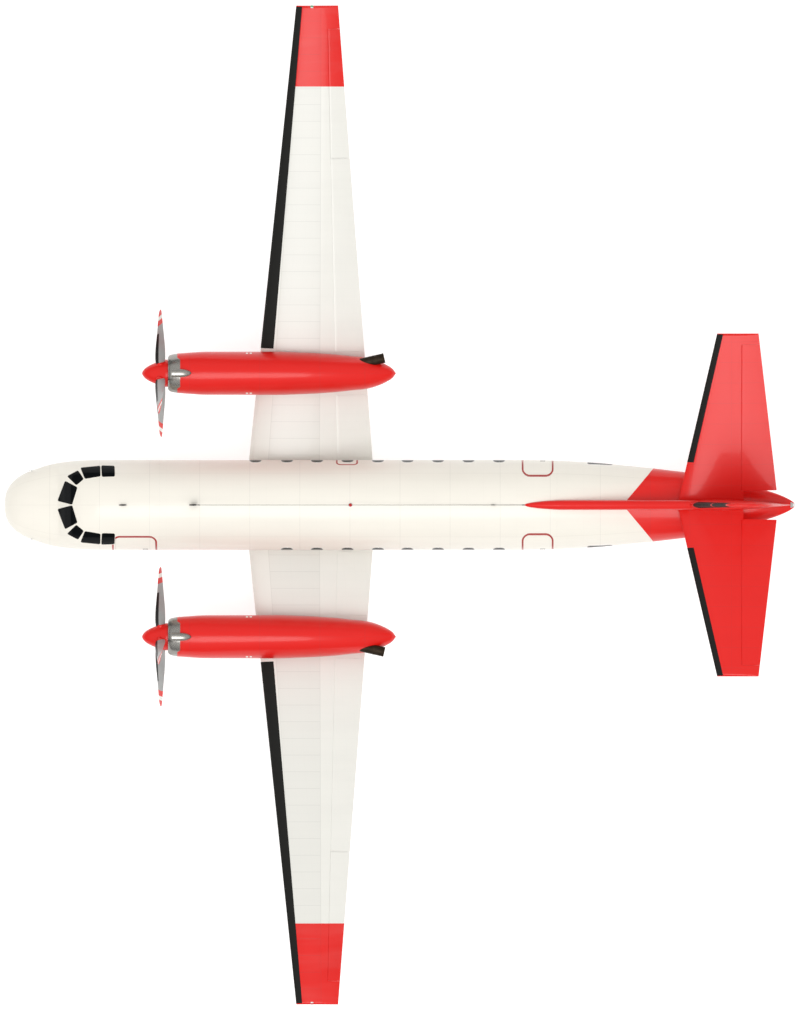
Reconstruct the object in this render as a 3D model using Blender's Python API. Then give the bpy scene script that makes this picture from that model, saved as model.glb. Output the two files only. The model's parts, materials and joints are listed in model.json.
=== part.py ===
"""Twin turboprop transport aircraft with a rear loading ramp, parked on its wheels.

Metres, +Z up. The nose points to -X and the right wing to +Y. The origin is on the ground, under the middle
of the aircraft's length and on its plane of symmetry. Right-hand pieces are built first, and left-hand ones
are their mirror images, apart from the propellers, which turn the same way.
"""

import math

import bmesh
import bpy
import numpy as np
from mathutils import Matrix, Vector

# General
GAP = 0.0003  # left between pieces that rest on each other
CLEARANCE = 0.012  # round the noses and ends of the moving control surfaces
FLAP_GAP = 0.0006  # round the flaps, which don't move
HINGE_PIN_RADIUS = 0.012
LENGTH = 23.73
HALF_SPAN = 14.967
NOSE_X = -LENGTH / 2
TAIL_X = LENGTH / 2

# Fuselage
SKIN = 0.09  # skin, frame and lining together
REAR_SKIN = 0.06  # behind the cabin, with no lining
FLOOR_Z = 2.02
FLOOR_THICK = 0.08
FLIGHT_DECK_BULKHEAD_X = -8.60
NOSE_JOINT_X = -7.20  # where the nose section meets the cabin section
REAR_JOINT_X = 4.70
CONE_JOINT_X = 8.55
CONE_HOLLOW_X = (9.45, 10.20, 11.0)  # where the hollow's inside is shaped, up to its end
RING_SIDES = 28
# Columns: x, half width, top, bottom, height of the widest line, power of the lower half (2 is an ellipse)
FUSELAGE_SECTIONS = (
    (NOSE_X + 0.03, 0.315, 2.56, 2.10, 2.33, 2.0),
    (NOSE_X + 0.105, 0.506, 2.70, 1.97, 2.34, 2.0),
    (NOSE_X + 0.225, 0.672, 2.82, 1.86, 2.36, 2.0),
    (NOSE_X + 0.405, 0.830, 2.93, 1.75, 2.38, 2.0),
    (NOSE_X + 0.645, 0.968, 3.02, 1.65, 2.42, 2.0),
    (NOSE_X + 0.945, 1.080, 3.09, 1.56, 2.47, 2.0),
    (NOSE_X + 1.275, 1.187, 3.15, 1.49, 2.52, 2.0),
    (NOSE_X + 1.605, 1.257, 3.22, 1.44, 2.57, 2.0),
    (NOSE_X + 1.845, 1.292, 3.50, 1.41, 2.61, 2.0),
    (NOSE_X + 2.070, 1.317, 3.74, 1.39, 2.64, 2.0),
    (NOSE_X + 2.385, 1.339, 3.92, 1.37, 2.67, 2.0),
    (NOSE_X + 2.895, 1.350, 4.03, 1.35, 2.70, 2.0),
    (-8.30, 1.350, 4.05, 1.35, 2.70, 2.0),
    (3.60, 1.350, 4.05, 1.35, 2.70, 2.0),
    (4.20, 1.345, 4.05, 1.38, 2.71, 2.0),
    (4.80, 1.325, 4.05, 1.46, 2.75, 2.1),
    (5.40, 1.295, 4.05, 1.63, 2.82, 2.3),
    (6.00, 1.255, 4.05, 1.82, 2.91, 2.5),
    (6.75, 1.185, 4.05, 2.08, 3.03, 2.6),
    (7.50, 1.110, 4.05, 2.34, 3.16, 2.6),
    (8.10, 1.040, 4.05, 2.55, 3.26, 2.6),
    (8.70, 0.965, 4.03, 2.76, 3.35, 2.5),
    (9.45, 0.840, 3.99, 3.00, 3.45, 2.3),
    (10.05, 0.710, 3.95, 3.16, 3.52, 2.2),
    (10.65, 0.550, 3.89, 3.30, 3.57, 2.0),
    (11.01, 0.430, 3.83, 3.38, 3.60, 2.0),
    (11.31, 0.330, 3.77, 3.44, 3.60, 2.0),
    (11.61, 0.200, 3.69, 3.51, 3.60, 2.0),
    (11.78, 0.090, 3.64, 3.56, 3.60, 2.0),
)
NOSE_TIP = Vector((NOSE_X, 0, 2.32))
TAIL_TIP = Vector((TAIL_X, 0, 3.60))

# Flight deck glazing: the band of panes seen from above, as x and distance from the centre line
GLASS_THICK = 0.03
GLASS_OUTLINE = (
    (-10.26, 0.00), (-10.05, 0.73), (-9.97, 0.87), (-9.66, 1.03), (-9.57, 1.13), (-8.97, 1.17),
    (-8.555, 1.18), (-8.555, 0.845), (-8.97, 0.84), (-9.45, 0.80), (-9.69, 0.52), (-9.82, 0.00),
)

# Doors: first and last x, sill, top, corner radius
FRONT_DOOR = (-8.53, -7.335, FLOOR_Z, 3.655, 0.20)
REAR_DOOR = (3.675, 4.575, FLOOR_Z, 3.725, 0.20)
DOOR_GAP = 0.0005

# Rear opening, closed by the loading ramp and by the door behind it
REAR_OPENING_X = (4.76, 8.48)
REAR_OPENING_HALF_WIDTH = 0.80
REAR_CUTTER_Z = (0.5, 3.4)  # well under the belly, and above the door's upper edge
PANEL_GAP = 0.008
SPLIT = (7.00, 2.16)  # x and z where ramp and door meet on the belly line
SPLIT_LEAN = 0.57  # their joint leans forward by this for each metre up, so that the door clears the ramp
RAMP_FLOOR_RISE = 0.17  # of the ramp's floor for each metre of length, when shut
RAMP_BARREL = (0.05, 0.20)  # radius of the hinge on its front edge, and half its length
UPPER_DOOR_REAR_GAP = 0.04  # lets the door's rear corners swing back as it opens
UPPER_DOOR_HINGE_X = 8.42
UPPER_DOOR_PIN = (0.015, 0.04)  # radius, and how far it lies inside the door

# Wing. X of both edges at a distance along the span is worked out from the root line.
WING_ROOT = 1.40
WING_ROOT_EDGES = (-4.53, -0.825)  # leading edge, trailing edge
WING_SWEEPS = (0.104, -0.0752)  # of those edges, in metres of x for each metre of span
WING_DIHEDRAL = math.radians(7)
WING_PLANE_Z = 1.68  # where the two wing planes meet, on the centre line
WING_THICKNESS = (0.18, 0.12)  # of the chord, at the root and at the tip
WING_INCIDENCE = (math.radians(3), math.radians(1))
CAMBER = 0.02
EDGE_THICK = 0.012  # of every trailing edge
AIRFOIL_STEPS = 8
# Hinge line of the flaps and ailerons: x at the root line, and its sweep
WING_HINGE_X = -1.86
WING_HINGE_SWEEP = -0.0217
INBOARD_FLAP = (1.42, 3.33)
OUTBOARD_FLAP = (4.64, 10.46)
AILERON = (10.49, 14.37)

# Tailplane and fin
TAILPLANE_DIHEDRAL = math.radians(10)
TAILPLANE_Z = 4.20
TAILPLANE_HALF_SPAN = 5.13
TAILPLANE_ROOT_EDGES = (8.30, 11.33)  # on the centre line
TAILPLANE_SWEEPS = (0.228, -0.116)
TAIL_THICKNESS = 0.10
ELEVATOR = (0.45, 4.87)
ELEVATOR_HINGE_X = 10.25
INNER_RIB_REACH = 0.03  # of the rib beside the fin behind that line, to carry the elevator's inner pin
FIN_TOP_Z = 9.17
FIN_BASE_Z = 3.95
FIN_EDGES = ((8.38, 11.72), (9.72, 11.10))  # leading and trailing edge at the base and at the top
RUDDER_HINGE_X = 10.56
RUDDER_Z = (4.12, 8.80)
DORSAL_START_X = 3.71
DORSAL_HALF_WIDTH = 0.145
# Columns: x, share of the full half width, height over the fuselage's crown
DORSAL_SECTIONS = (
    (3.75, 0.20, 0.03), (3.95, 0.52, 0.07), (4.30, 0.80, 0.13), (4.90, 1.00, 0.22),
    (6.60, 1.00, 0.52), (8.20, 1.00, 0.88), (9.20, 0.95, 1.15),
)

# Nacelles
NACELLE_Y = 3.95
THRUST_Z = 3.00
# Columns: x, half width, top, bottom, height of the widest line
NACELLE_SECTIONS = (
    (-6.615, 0.598, 3.598, 2.402, 3.00),
    (-6.30, 0.622, 3.622, 2.34, 2.99),
    (-5.85, 0.648, 3.65, 2.16, 2.95),
    (-5.25, 0.650, 3.66, 1.93, 2.90),
    (-4.50, 0.650, 3.66, 1.70, 2.84),
    (-3.75, 0.650, 3.65, 1.60, 2.78),
    (-2.91, 0.625, 3.60, 1.58, 2.72),
    (-2.01, 0.572, 3.45, 1.67, 2.68),
    (-1.47, 0.516, 3.30, 1.81, 2.64),
    (-0.99, 0.465, 3.13, 1.99, 2.60),
    (-0.63, 0.363, 2.95, 2.15, 2.56),
    (-0.375, 0.243, 2.80, 2.29, 2.54),
    (-0.22, 0.140, 2.68, 2.39, 2.53),
)
NACELLE_TIP_X = -0.12
NACELLE_TIP_Z = 2.53
NACELLE_SIDES = 20
FIREWALL_X = -4.25
ENGINE_BAY_RADIUS = 0.52
ENGINE_RADIUS = 0.48
ENGINE_FRONT_X = -6.50
# Intake ring, as x and radius round the thrust line, inner wall last
INTAKE_PROFILE = (
    (-6.955, 0.470), (-6.940, 0.505), (-6.870, 0.555), (-6.700, 0.588), (-6.6153, 0.598),
    (-6.6153, 0.505), (-6.800, 0.475), (-6.930, 0.452),
)
INTAKE_BORE_RADIUS = 0.45
SCOOP_CENTRE_X = -6.53
SCOOP_HEIGHT = 0.60  # of its middle over the thrust line
SCOOP_SIZE = (0.30, 0.11, 0.13)  # half length, half width, half height
EXHAUST_RADIUS = 0.15
EXHAUST_WALL = 0.012
EXHAUST_END = Vector((-0.468, NACELLE_Y + 0.459, 2.86))
EXHAUST_TOE_OUT = math.radians(12.9)
EXHAUST_LENGTH = 1.20

# Propellers
PROP_X = -7.185
PROP_RADIUS = 2.21
BLADES = 4
BLADE_SIDES = 8
BLADE_ANGLES = {"right": math.radians(31.5), "left": math.radians(19.5)}  # first blade, from +Y towards +Z
HUB_RADIUS = 0.21
SHANK_RADIUS = 0.085
SHANK_END = 0.27
BLADE_HOLE_GAP = 0.012
SHAFT_RADIUS = 0.11
SHAFT_END_X = ENGINE_FRONT_X - GAP
SPINNER_WALL = 0.02
SPINNER_SIDES = 20
# Columns: x and radius of the hollow behind its wall
SPINNER_CAVITY = ((-7.56, 0.10), (-7.45, 0.235), (-7.22, 0.330))
# Columns: x and radius of the spinner's outside
SPINNER_PROFILE = (
    (-7.737, 0.0), (-7.70, 0.085), (-7.65, 0.145), (-7.50, 0.243), (-7.35, 0.309), (-7.20, 0.360),
    (-7.02, 0.411), (-6.99, 0.411),
)
# Columns: radius, chord, thickness, pitch in degrees from the disc
BLADE_SECTIONS = (
    (0.40, 0.290, 0.110, 71), (0.55, 0.330, 0.075, 65), (0.90, 0.360, 0.048, 51), (1.45, 0.370, 0.032, 31),
    (1.85, 0.345, 0.024, 22), (2.08, 0.290, 0.018, 18), (2.17, 0.215, 0.014, 17),
    (PROP_RADIUS, 0.100, 0.010, 16),
)

# Main gear
MAIN_GEAR_X = -2.40
MAIN_TYRE = (0.43, 0.135, 0.24)  # radius, half width, distance of its middle from the leg
MAIN_RIM_RADIUS = 0.22
MAIN_LEG_RADIUS = 0.095
MAIN_PISTON_RADIUS = 0.065
MAIN_PISTON_TOP_Z = 1.02
MAIN_AXLE_RADIUS = 0.05
MAIN_LEG_TOP_Z = 2.10  # inside the wing, which cuts the leg to fit
MAIN_COLLAR_Z = (1.05, 1.15)
MAIN_TRUNNION_Z = 1.85
MAIN_STRUT_FOOT_Z = 1.25
MAIN_STRUT_HEAD = (-3.25, 2.05)  # x and z, inside the wing
# Torque links. Columns: first x behind the leg, bottom, last x behind the leg, top
MAIN_LINKS = ((0.03, 0.52, 0.22, 0.58), (0.17, 0.55, 0.22, 0.98), (0.03, 0.93, 0.22, 0.99))
STRUT_RADIUS = 0.035
TRUNNION_RADIUS = 0.05
MAIN_BAY = ((-3.45, -2.12), 0.30, 2.15)  # x range, half width, roof inside the wing
MAIN_DOOR = ((-3.40, -2.65), 1.42, 1.87, 0.016)  # x range, bottom, top, half thickness

# Nose gear
NOSE_GEAR_X = -9.60
NOSE_TYRE = (0.325, 0.105, 0.17)
NOSE_RIM_RADIUS = 0.16
NOSE_LEG_RADIUS = 0.08
NOSE_PISTON_RADIUS = 0.055
NOSE_FORK_TOP_Z = 0.98
NOSE_COLLAR_Z = 0.88
NOSE_TRUNNION_Z = 1.62
NOSE_STRUT_FOOT_Z = 1.25
NOSE_STRUT_HEAD = (-10.45, 0, 2.10)  # inside the nose, which cuts it to fit
NOSE_LINKS = ((0.02, 0.40, 0.16, 0.45), (0.12, 0.42, 0.16, 0.92), (0.02, 0.89, 0.16, 0.93))
NOSE_AXLE_RADIUS = 0.04
NOSE_BAY = ((-10.75, -9.38), 0.26, 1.95)
NOSE_DOOR = ((-10.65, -9.72), 1.20, 1.72, 0.015)
AXLE_PLAY = 0.0009  # round an axle
AXLE_SIDES = 20
RIM_SHARE = 0.78  # of the tyre's width
WHEEL_SIDES = 20


def finish(name, colour, roughness, metallic=0.0):
    """A painted or bare surface, made once and shared by name."""
    found = bpy.data.materials.get(name)
    if found:
        return found
    made = bpy.data.materials.new(name)
    made.use_nodes = True
    shader = made.node_tree.nodes["Principled BSDF"]
    shader.inputs["Base Color"].default_value = (*colour, 1.0)
    shader.inputs["Roughness"].default_value = roughness
    shader.inputs["Metallic"].default_value = metallic
    made.diffuse_color = (*colour, 1.0)
    return made


def white_paint():
    return finish("white_paint", (0.90, 0.88, 0.82), 0.35)


def red_paint():
    return finish("red_paint", (0.78, 0.05, 0.03), 0.30)


def grey_paint():
    return finish("grey_paint", (0.55, 0.56, 0.57), 0.45)


def polished_metal():
    return finish("polished_metal", (0.62, 0.62, 0.60), 0.18, 1.0)


def burnt_metal():
    return finish("burnt_metal", (0.05, 0.035, 0.03), 0.55, 0.8)


def blade_metal():
    return finish("blade_metal", (0.60, 0.60, 0.60), 0.40, 0.6)


def gear_metal():
    return finish("gear_metal", (0.70, 0.71, 0.72), 0.40, 0.3)


def tyre_rubber():
    return finish("tyre_rubber", (0.03, 0.03, 0.03), 0.85)


def dark_glass():
    return finish("dark_glass", (0.01, 0.012, 0.014), 0.05)


def mesh_object(name, points, faces, material):
    """One closed mesh, its faces turned outwards."""
    bm = bmesh.new()
    vertices = [bm.verts.new(p) for p in points]
    for face in faces:
        bm.faces.new([vertices[i] for i in face])
    bmesh.ops.recalc_face_normals(bm, faces=bm.faces)
    mesh = bpy.data.meshes.new(name)
    bm.to_mesh(mesh)
    bm.free()
    mesh.materials.append(material)
    obj = bpy.data.objects.new(name, mesh)
    bpy.context.scene.collection.objects.link(obj)
    return obj


def skin_of_rings(name, rings, material, first_pole=None, last_pole=None, joined=False):
    """Rings of equally many points, skinned in order. The ends are flat or pointed, or meet each other.

    Each four-sided face is split in two, the other way round on the left of the aircraft, and the same way in
    whichever order the rings come, so that pieces cut to one shape fit it exactly on both sides.
    """
    sides = len(rings[0])
    points = [p for ring in rings for p in ring]
    faces = []
    for k in range(len(rings) - (0 if joined else 1)):
        a, b = k * sides, (k + 1) % len(rings) * sides
        for i in range(sides):
            quad = (a + i, a + (i + 1) % sides, b + (i + 1) % sides, b + i)
            on_left = sum(points[j][1] for j in quad) < 0
            backwards = points[quad[0]][0] > points[quad[3]][0] + 1e-6
            if on_left != backwards:
                quad = quad[1:] + quad[:1]
            faces += [quad[:3], (quad[0], *quad[2:])]
    for pole, base in ((first_pole, 0), (last_pole, (len(rings) - 1) * sides)):
        if joined:
            break
        if pole is None:
            faces.append([base + i for i in range(sides)])
        else:
            points.append(pole)
            faces += [(base + i, base + (i + 1) % sides, len(points) - 1) for i in range(sides)]
    return mesh_object(name, points, faces, material)


def box(name, low, high, material):
    outline = ((low[1], low[2]), (high[1], low[2]), (high[1], high[2]), (low[1], high[2]))
    corners = [[(x, y, z) for y, z in outline] for x in (low[0], high[0])]
    return skin_of_rings(name, corners, material)


def rod(name, start, end, radius, material, sides=12):
    """A round bar."""
    start, end = Vector(start), Vector(end)
    turn = (end - start).to_track_quat("Z", "Y")
    circle = [turn @ Vector((radius * math.cos(a), radius * math.sin(a), 0)) for a in turns(sides)]
    return skin_of_rings(name, [[centre + p for p in circle] for centre in (start, end)], material)


def turns(sides, start=0.0):
    return [start + 2 * math.pi * i / sides for i in range(sides)]


def turned(name, profile, centre, along, material, sides, closed=False):
    """A profile of (distance along the axis, radius) turned about an axis of "X" or "Y" through centre.

    About "Y" the shape has a flat underneath, which is what a wheel stands on.
    """
    def ring(d, r):
        if along == "X":
            return [Vector(centre) + Vector((d, r * math.cos(a), r * math.sin(a))) for a in turns(sides)]
        start = math.pi / sides
        return [Vector(centre) + Vector((r * math.sin(a), d, r * math.cos(a))) for a in turns(sides, start)]

    poles = [ring(d, 0)[0] if r == 0 and not closed else None for d, r in (profile[0], profile[-1])]
    rings = [ring(d, r) for d, r in profile if r > 0]
    return skin_of_rings(name, rings, material, *poles, joined=closed)


def bake(obj):
    """Puts the object's modifiers and transform into its mesh."""
    bpy.context.view_layer.update()
    graph = bpy.context.evaluated_depsgraph_get()
    mesh = bpy.data.meshes.new_from_object(obj.evaluated_get(graph))
    mesh.transform(obj.matrix_world)
    obj.modifiers.clear()
    obj.data = mesh
    obj.matrix_world = Matrix.Identity(4)
    return obj


def combine(target, operation, tools):
    """Cuts, joins or keeps the target with each tool, and removes the tools."""
    for tool in tools:
        modifier = target.modifiers.new(operation.lower(), "BOOLEAN")
        modifier.operation = operation
        modifier.solver = "EXACT"
        modifier.object = tool
        bake(target)
        bpy.data.objects.remove(tool)
    return target


def cut(target, *tools):
    return combine(target, "DIFFERENCE", tools)


def join(target, *tools):
    return combine(target, "UNION", tools)


def keep_inside(target, *tools):
    return combine(target, "INTERSECT", tools)


def tilted(obj, angle, height):
    """A wing or tailplane piece, built level, turned up to its dihedral about the centre line."""
    obj.matrix_world = Matrix.Translation((0, 0, height)) @ Matrix.Rotation(angle, 4, "X")
    return bake(obj)


def mirror_image(obj, name):
    """The same piece on the left side."""
    mesh = obj.data.copy()
    mesh.transform(Matrix.Diagonal((1, -1, 1, 1)))
    mesh.flip_normals()
    made = bpy.data.objects.new(name, mesh)
    bpy.context.scene.collection.objects.link(made)
    return made


def place_origin(obj, point):
    """Moves the object's origin to a point, such as one on its joint's axis, and leaves its shape there."""
    obj.data.transform(Matrix.Translation(-Vector(point)))
    obj.location = point
    return obj


def smooth(obj, degrees=32):
    obj.data.shade_smooth()
    obj.data.set_sharp_from_angle(angle=math.radians(degrees))


# Fuselage


def fuselage_at(x):
    """The table's columns after x, read at x."""
    table = np.array(FUSELAGE_SECTIONS)
    return [float(np.interp(x, table[:, 0], column)) for column in table.T[1:]]


def fuselage_ring(x, offset):
    half_width, top, bottom, widest, power = fuselage_at(x)
    ring = []
    for angle in turns(RING_SIDES):
        c, s = math.cos(angle), math.sin(angle)
        if s >= 0:
            ring.append(Vector((x, (half_width + offset) * c, widest + (top - widest + offset) * s)))
            continue
        y = math.copysign(abs(c) ** (2 / power), c)
        z = abs(s) ** (2 / power)
        ring.append(Vector((x, (half_width + offset) * y, widest - (widest - bottom + offset) * z)))
    return ring


def fuselage_rings(first_x, last_x, offset=0.0):
    joints = (NOSE_JOINT_X, REAR_JOINT_X, CONE_JOINT_X)
    stations = sorted([row[0] for row in FUSELAGE_SECTIONS] + list(joints))
    inner = [x for x in stations if first_x + 0.01 < x < last_x - 0.01]
    return [fuselage_ring(x, offset) for x in [first_x, *inner, last_x]]


def fuselage_form(name, first_x, last_x, offset, material):
    return skin_of_rings(name, fuselage_rings(first_x, last_x, offset), material)


def fuselage_shell(name, first_x, last_x, skin, material):
    """An open tube with the fuselage's shape and the skin's thickness."""
    outer = fuselage_rings(first_x, last_x)
    inner = fuselage_rings(first_x, last_x, -skin)
    return skin_of_rings(name, outer + inner[::-1], material, joined=True)


def door_prism(name, opening, inner_y, outer_y, grow):
    """A rounded rectangle in side view, run across one side of the fuselage."""
    first_x, last_x, sill, top, radius = opening
    corners = ((last_x, top, 0), (first_x, top, 90), (first_x, sill, 180), (last_x, sill, 270))
    outline = []
    for x, z, start in corners:
        middle_x, middle_z = (first_x + last_x) / 2, (sill + top) / 2
        inward = (math.copysign(radius, middle_x - x), math.copysign(radius, middle_z - z))
        for step in range(5):
            a = math.radians(start + 22.5 * step)
            reach = radius + grow
            outline.append((x + inward[0] + reach * math.cos(a), z + inward[1] + reach * math.sin(a)))
    rings = [[Vector((x, y, z)) for x, z in outline] for y in (inner_y, outer_y)]
    return skin_of_rings(name, rings, white_paint())


def wall_panel(name, prism, first_x, last_x, skin):
    """The part of the fuselage's shell inside a prism: a door as thick as the wall it closes."""
    return keep_inside(fuselage_shell(name, first_x, last_x, skin, white_paint()), prism)


def side_door(name, opening, side):
    prism = door_prism("prism", opening, 0.3 * side, 1.6 * side, -DOOR_GAP)
    return wall_panel(name, prism, opening[0] - 0.2, opening[1] + 0.2, SKIN)


def side_prism(outline, half_width):
    """An outline of x and z, run across the fuselage."""
    rings = [[Vector((x, y, z)) for x, z in outline] for y in (-half_width, half_width)]
    return skin_of_rings("prism", rings, white_paint())


def grown_outline(points, grow):
    """A closed outline with each edge moved outwards; its points run clockwise, seen along the view."""
    grown = []
    for before, at, after in zip(points[-1:] + points[:-1], points, points[1:] + points[:1]):
        first, second = (at - before).normalized(), (after - at).normalized()
        normals = [Vector((-d.y, d.x)) for d in (first, second)]
        middle = (normals[0] + normals[1]).normalized()
        grown.append(at + middle * (grow / middle.dot(normals[0])))
    return grown


def make_glazing_band(grow, depth, height, name):
    """The band of flight deck panes: the nose's outer layer, cut to the band's outline seen from above."""
    right = [Vector((x, y)) for x, y in GLASS_OUTLINE]
    outline = right + [Vector((p.x, -p.y)) for p in right[-2:0:-1]]
    grown = grown_outline(outline, grow)
    prism = skin_of_rings("prism", [[Vector((p.x, p.y, z)) for p in grown] for z in (3.0, 4.3)], dark_glass())
    layer = fuselage_form(name, NOSE_X + 0.5, -8.0, height, dark_glass())
    layer = cut(layer, fuselage_form("core", NOSE_X + 0.3, -7.8, -depth, dark_glass()))
    return keep_inside(layer, prism)


def make_fuselage():
    white, red = white_paint(), red_paint()

    outer = fuselage_rings(NOSE_X + 0.03, NOSE_JOINT_X)
    hold = fuselage_rings(FLIGHT_DECK_BULKHEAD_X, NOSE_JOINT_X, -SKIN)
    nose = skin_of_rings("nose_section", outer + hold[::-1], white, NOSE_TIP)
    cut(nose, make_glazing_band(GAP, GLASS_THICK + GAP, 0.05, "recess"))
    cut(nose, door_prism("prism", FRONT_DOOR, -0.3, -1.6, 0))
    bay_x, half_width, roof = NOSE_BAY
    cut(nose, box("bay", (bay_x[0], -half_width, 1.0), (bay_x[1], half_width, roof), white))
    make_glazing_band(0, GLASS_THICK, 0, "flight_deck_glazing")

    cabin = fuselage_shell("cabin_section", NOSE_JOINT_X + GAP, REAR_JOINT_X, SKIN, white)
    for side in (1, -1):
        cut(cabin, door_prism("prism", REAR_DOOR, 0.3 * side, 1.6 * side, 0))

    rear = fuselage_shell("rear_section", REAR_JOINT_X + GAP, CONE_JOINT_X, REAR_SKIN, white)
    first_x, last_x = REAR_OPENING_X
    low, high = REAR_CUTTER_Z
    outline = ((first_x, low), (last_x, low), (last_x, high), (first_x, high))
    cut(rear, side_prism(outline, REAR_OPENING_HALF_WIDTH + PANEL_GAP))

    outer = fuselage_rings(CONE_JOINT_X + GAP, FUSELAGE_SECTIONS[-1][0])
    hollow = [fuselage_ring(x, -REAR_SKIN) for x in (CONE_JOINT_X + GAP, *CONE_HOLLOW_X)]
    skin_of_rings("tail_cone", hollow[::-1] + outer, red, None, TAIL_TIP)

    low = (FLIGHT_DECK_BULKHEAD_X + GAP, -1.5, FLOOR_Z - FLOOR_THICK)
    high = (REAR_JOINT_X, 1.5, FLOOR_Z - GAP)
    floor = box("cabin_floor", low, high, grey_paint())
    first_x, last_x = FLIGHT_DECK_BULKHEAD_X - 0.1, REAR_JOINT_X + 0.1
    keep_inside(floor, fuselage_form("inside", first_x, last_x, -SKIN - GAP, white))


def make_doors():
    side_door("front_door", FRONT_DOOR, -1)
    side_door("rear_door_right", REAR_DOOR, 1)
    side_door("rear_door_left", REAR_DOOR, -1)


def split_x(z):
    """Where the joint between ramp and door lies, at a height."""
    return SPLIT[0] - SPLIT_LEAN * (z - SPLIT[1])


def make_ramp():
    first_x = REAR_OPENING_X[0] + PANEL_GAP
    ramp = fuselage_form("loading_ramp", first_x - 0.05, SPLIT[0] + 0.5, 0, white_paint())
    axis = ramp_axis_point()
    radius, half_length = RAMP_BARREL
    low, front_top = REAR_CUTTER_Z[0], FLOOR_Z - 0.01
    level_x = split_x(front_top) - PANEL_GAP
    rear_x = (level_x + SPLIT_LEAN * RAMP_FLOOR_RISE * first_x) / (1 + SPLIT_LEAN * RAMP_FLOOR_RISE)
    outline = (
        (first_x, front_top), (first_x, axis.z), (axis.x, axis.z - radius), (axis.x, low),
        (split_x(low) - PANEL_GAP, low), (rear_x, front_top + RAMP_FLOOR_RISE * (rear_x - first_x)),
    )
    keep_inside(ramp, side_prism(outline, REAR_OPENING_HALF_WIDTH))
    half = Vector((0, half_length, 0))
    join(ramp, rod("barrel", axis - half, axis + half, radius, white_paint(), 16))
    place_origin(ramp, axis)


def make_upper_door():
    last_x = REAR_OPENING_X[1] - UPPER_DOOR_REAR_GAP
    low, high = REAR_CUTTER_Z
    front_edge = [(split_x(z) + PANEL_GAP, z) for z in (high, low)]
    prism = side_prism((*front_edge, (last_x, low), (last_x, high)), REAR_OPENING_HALF_WIDTH)
    door = wall_panel("upper_rear_door", prism, split_x(high) - 0.1, CONE_JOINT_X - 0.02, REAR_SKIN)
    axis = upper_door_axis_point()
    pin_radius, inside = UPPER_DOOR_PIN
    for side in (-1, 1):
        start = Vector((axis.x, side * (REAR_OPENING_HALF_WIDTH - inside), axis.z))
        end = Vector((axis.x, side * (REAR_OPENING_HALF_WIDTH + PANEL_GAP - GAP), axis.z))
        join(door, rod("pin", start, end, pin_radius, white_paint(), 8))
    place_origin(door, axis)


def ramp_axis_point():
    """Just behind the front edge of the ramp's opening, inside the belly's skin."""
    front, radius = REAR_OPENING_X[0], RAMP_BARREL[0]
    return Vector((front + GAP + radius, 0, fuselage_at(front)[2] + radius))


def upper_door_axis_point():
    """Through the thickness of the door's two rear corners, which are higher than its middle."""
    half_width, _, bottom, widest, power = fuselage_at(UPPER_DOOR_HINGE_X)
    drop = (1 - (REAR_OPENING_HALF_WIDTH / half_width) ** power) ** (1 / power)
    return Vector((UPPER_DOOR_HINGE_X, 0, widest - (widest - bottom) * drop + 0.6 * REAR_SKIN))


# Wings, tailplane and fin


def airfoil(x, thickness, camber):
    """Upper and lower height of a section at x from 0 to 1, as shares of the chord."""
    x = min(max(x, 0.0), 1.0)
    half = 5 * thickness * (0.2969 * math.sqrt(x) - 0.126 * x - 0.3516 * x**2 + 0.2843 * x**3 - 0.1036 * x**4)
    middle = 4 * camber * x * (1 - x)
    return middle + half, middle - half


class Surface:
    """A straight tapered wing in its own level frame: span along y, built from its edges' lines."""

    def __init__(self, root, root_edges, sweeps, tip, thickness, incidence, camber):
        self.root, self.root_edges, self.sweeps, self.tip = root, root_edges, sweeps, tip
        self.thickness, self.incidence, self.camber = thickness, incidence, camber

    def share(self, y):
        return (y - self.root) / (self.tip - self.root)

    def edges(self, y):
        return [x + sweep * (y - self.root) for x, sweep in zip(self.root_edges, self.sweeps)]

    def heights(self, x, y):
        """Upper and lower height at a place in plan."""
        lead, trail = self.edges(y)
        chord = trail - lead
        thick, incidence = [a + (b - a) * self.share(y) for a, b in (self.thickness, self.incidence)]
        at = (x - lead) / chord
        upper, lower = airfoil(at, thick, self.camber)
        rise = (0.25 - at) * chord * math.tan(incidence)
        edge = EDGE_THICK / 2 * min(max(at, 0.0), 1.0)
        return upper * chord + rise + edge, lower * chord + rise - edge

    def ring(self, y, grow=0.0):
        lead, trail = self.edges(y)
        shares = [0.5 - 0.5 * math.cos(math.pi * i / AIRFOIL_STEPS) for i in range(AIRFOIL_STEPS + 1)]
        points = []
        for upper in (True, False):
            for at in reversed(shares) if upper else shares[1:]:
                x = lead + at * (trail - lead)
                z = self.heights(x, y)[0 if upper else 1]
                upward = 0 if at == 0 else grow if upper else -grow
                points.append(Vector((x + (2 * at - 1) * grow, y, z + upward)))
        return points

    def solid(self, name, stations, material, grow=0.0):
        return skin_of_rings(name, [self.ring(y, grow) for y in stations], material)

    def moving_ring(self, y, hinge_x, grow, past):
        """The section behind a hinge line, round-nosed, and carried past the trailing edge on a cutter."""
        upper, lower = self.heights(hinge_x, y)
        middle, radius = (upper + lower) / 2, (upper - lower) / 2
        points = [
            Vector((hinge_x - (radius + grow) * math.sin(a), y, middle + (radius + grow) * math.cos(a)))
            for a in [math.pi * i / 6 for i in range(7)]
        ]
        trail = self.edges(y)[1]
        if past:
            tall = radius + grow + 0.05
            return points + [Vector((trail + 0.3, y, middle - tall)), Vector((trail + 0.3, y, middle + tall))]
        rear = [hinge_x + share * (trail - hinge_x) for share in (0.3, 0.65, 1.0)]
        above, below = [[Vector((x, y, self.heights(x, y)[k])) for x in rear] for k in (0, 1)]
        return points + below + above[::-1]


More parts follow.
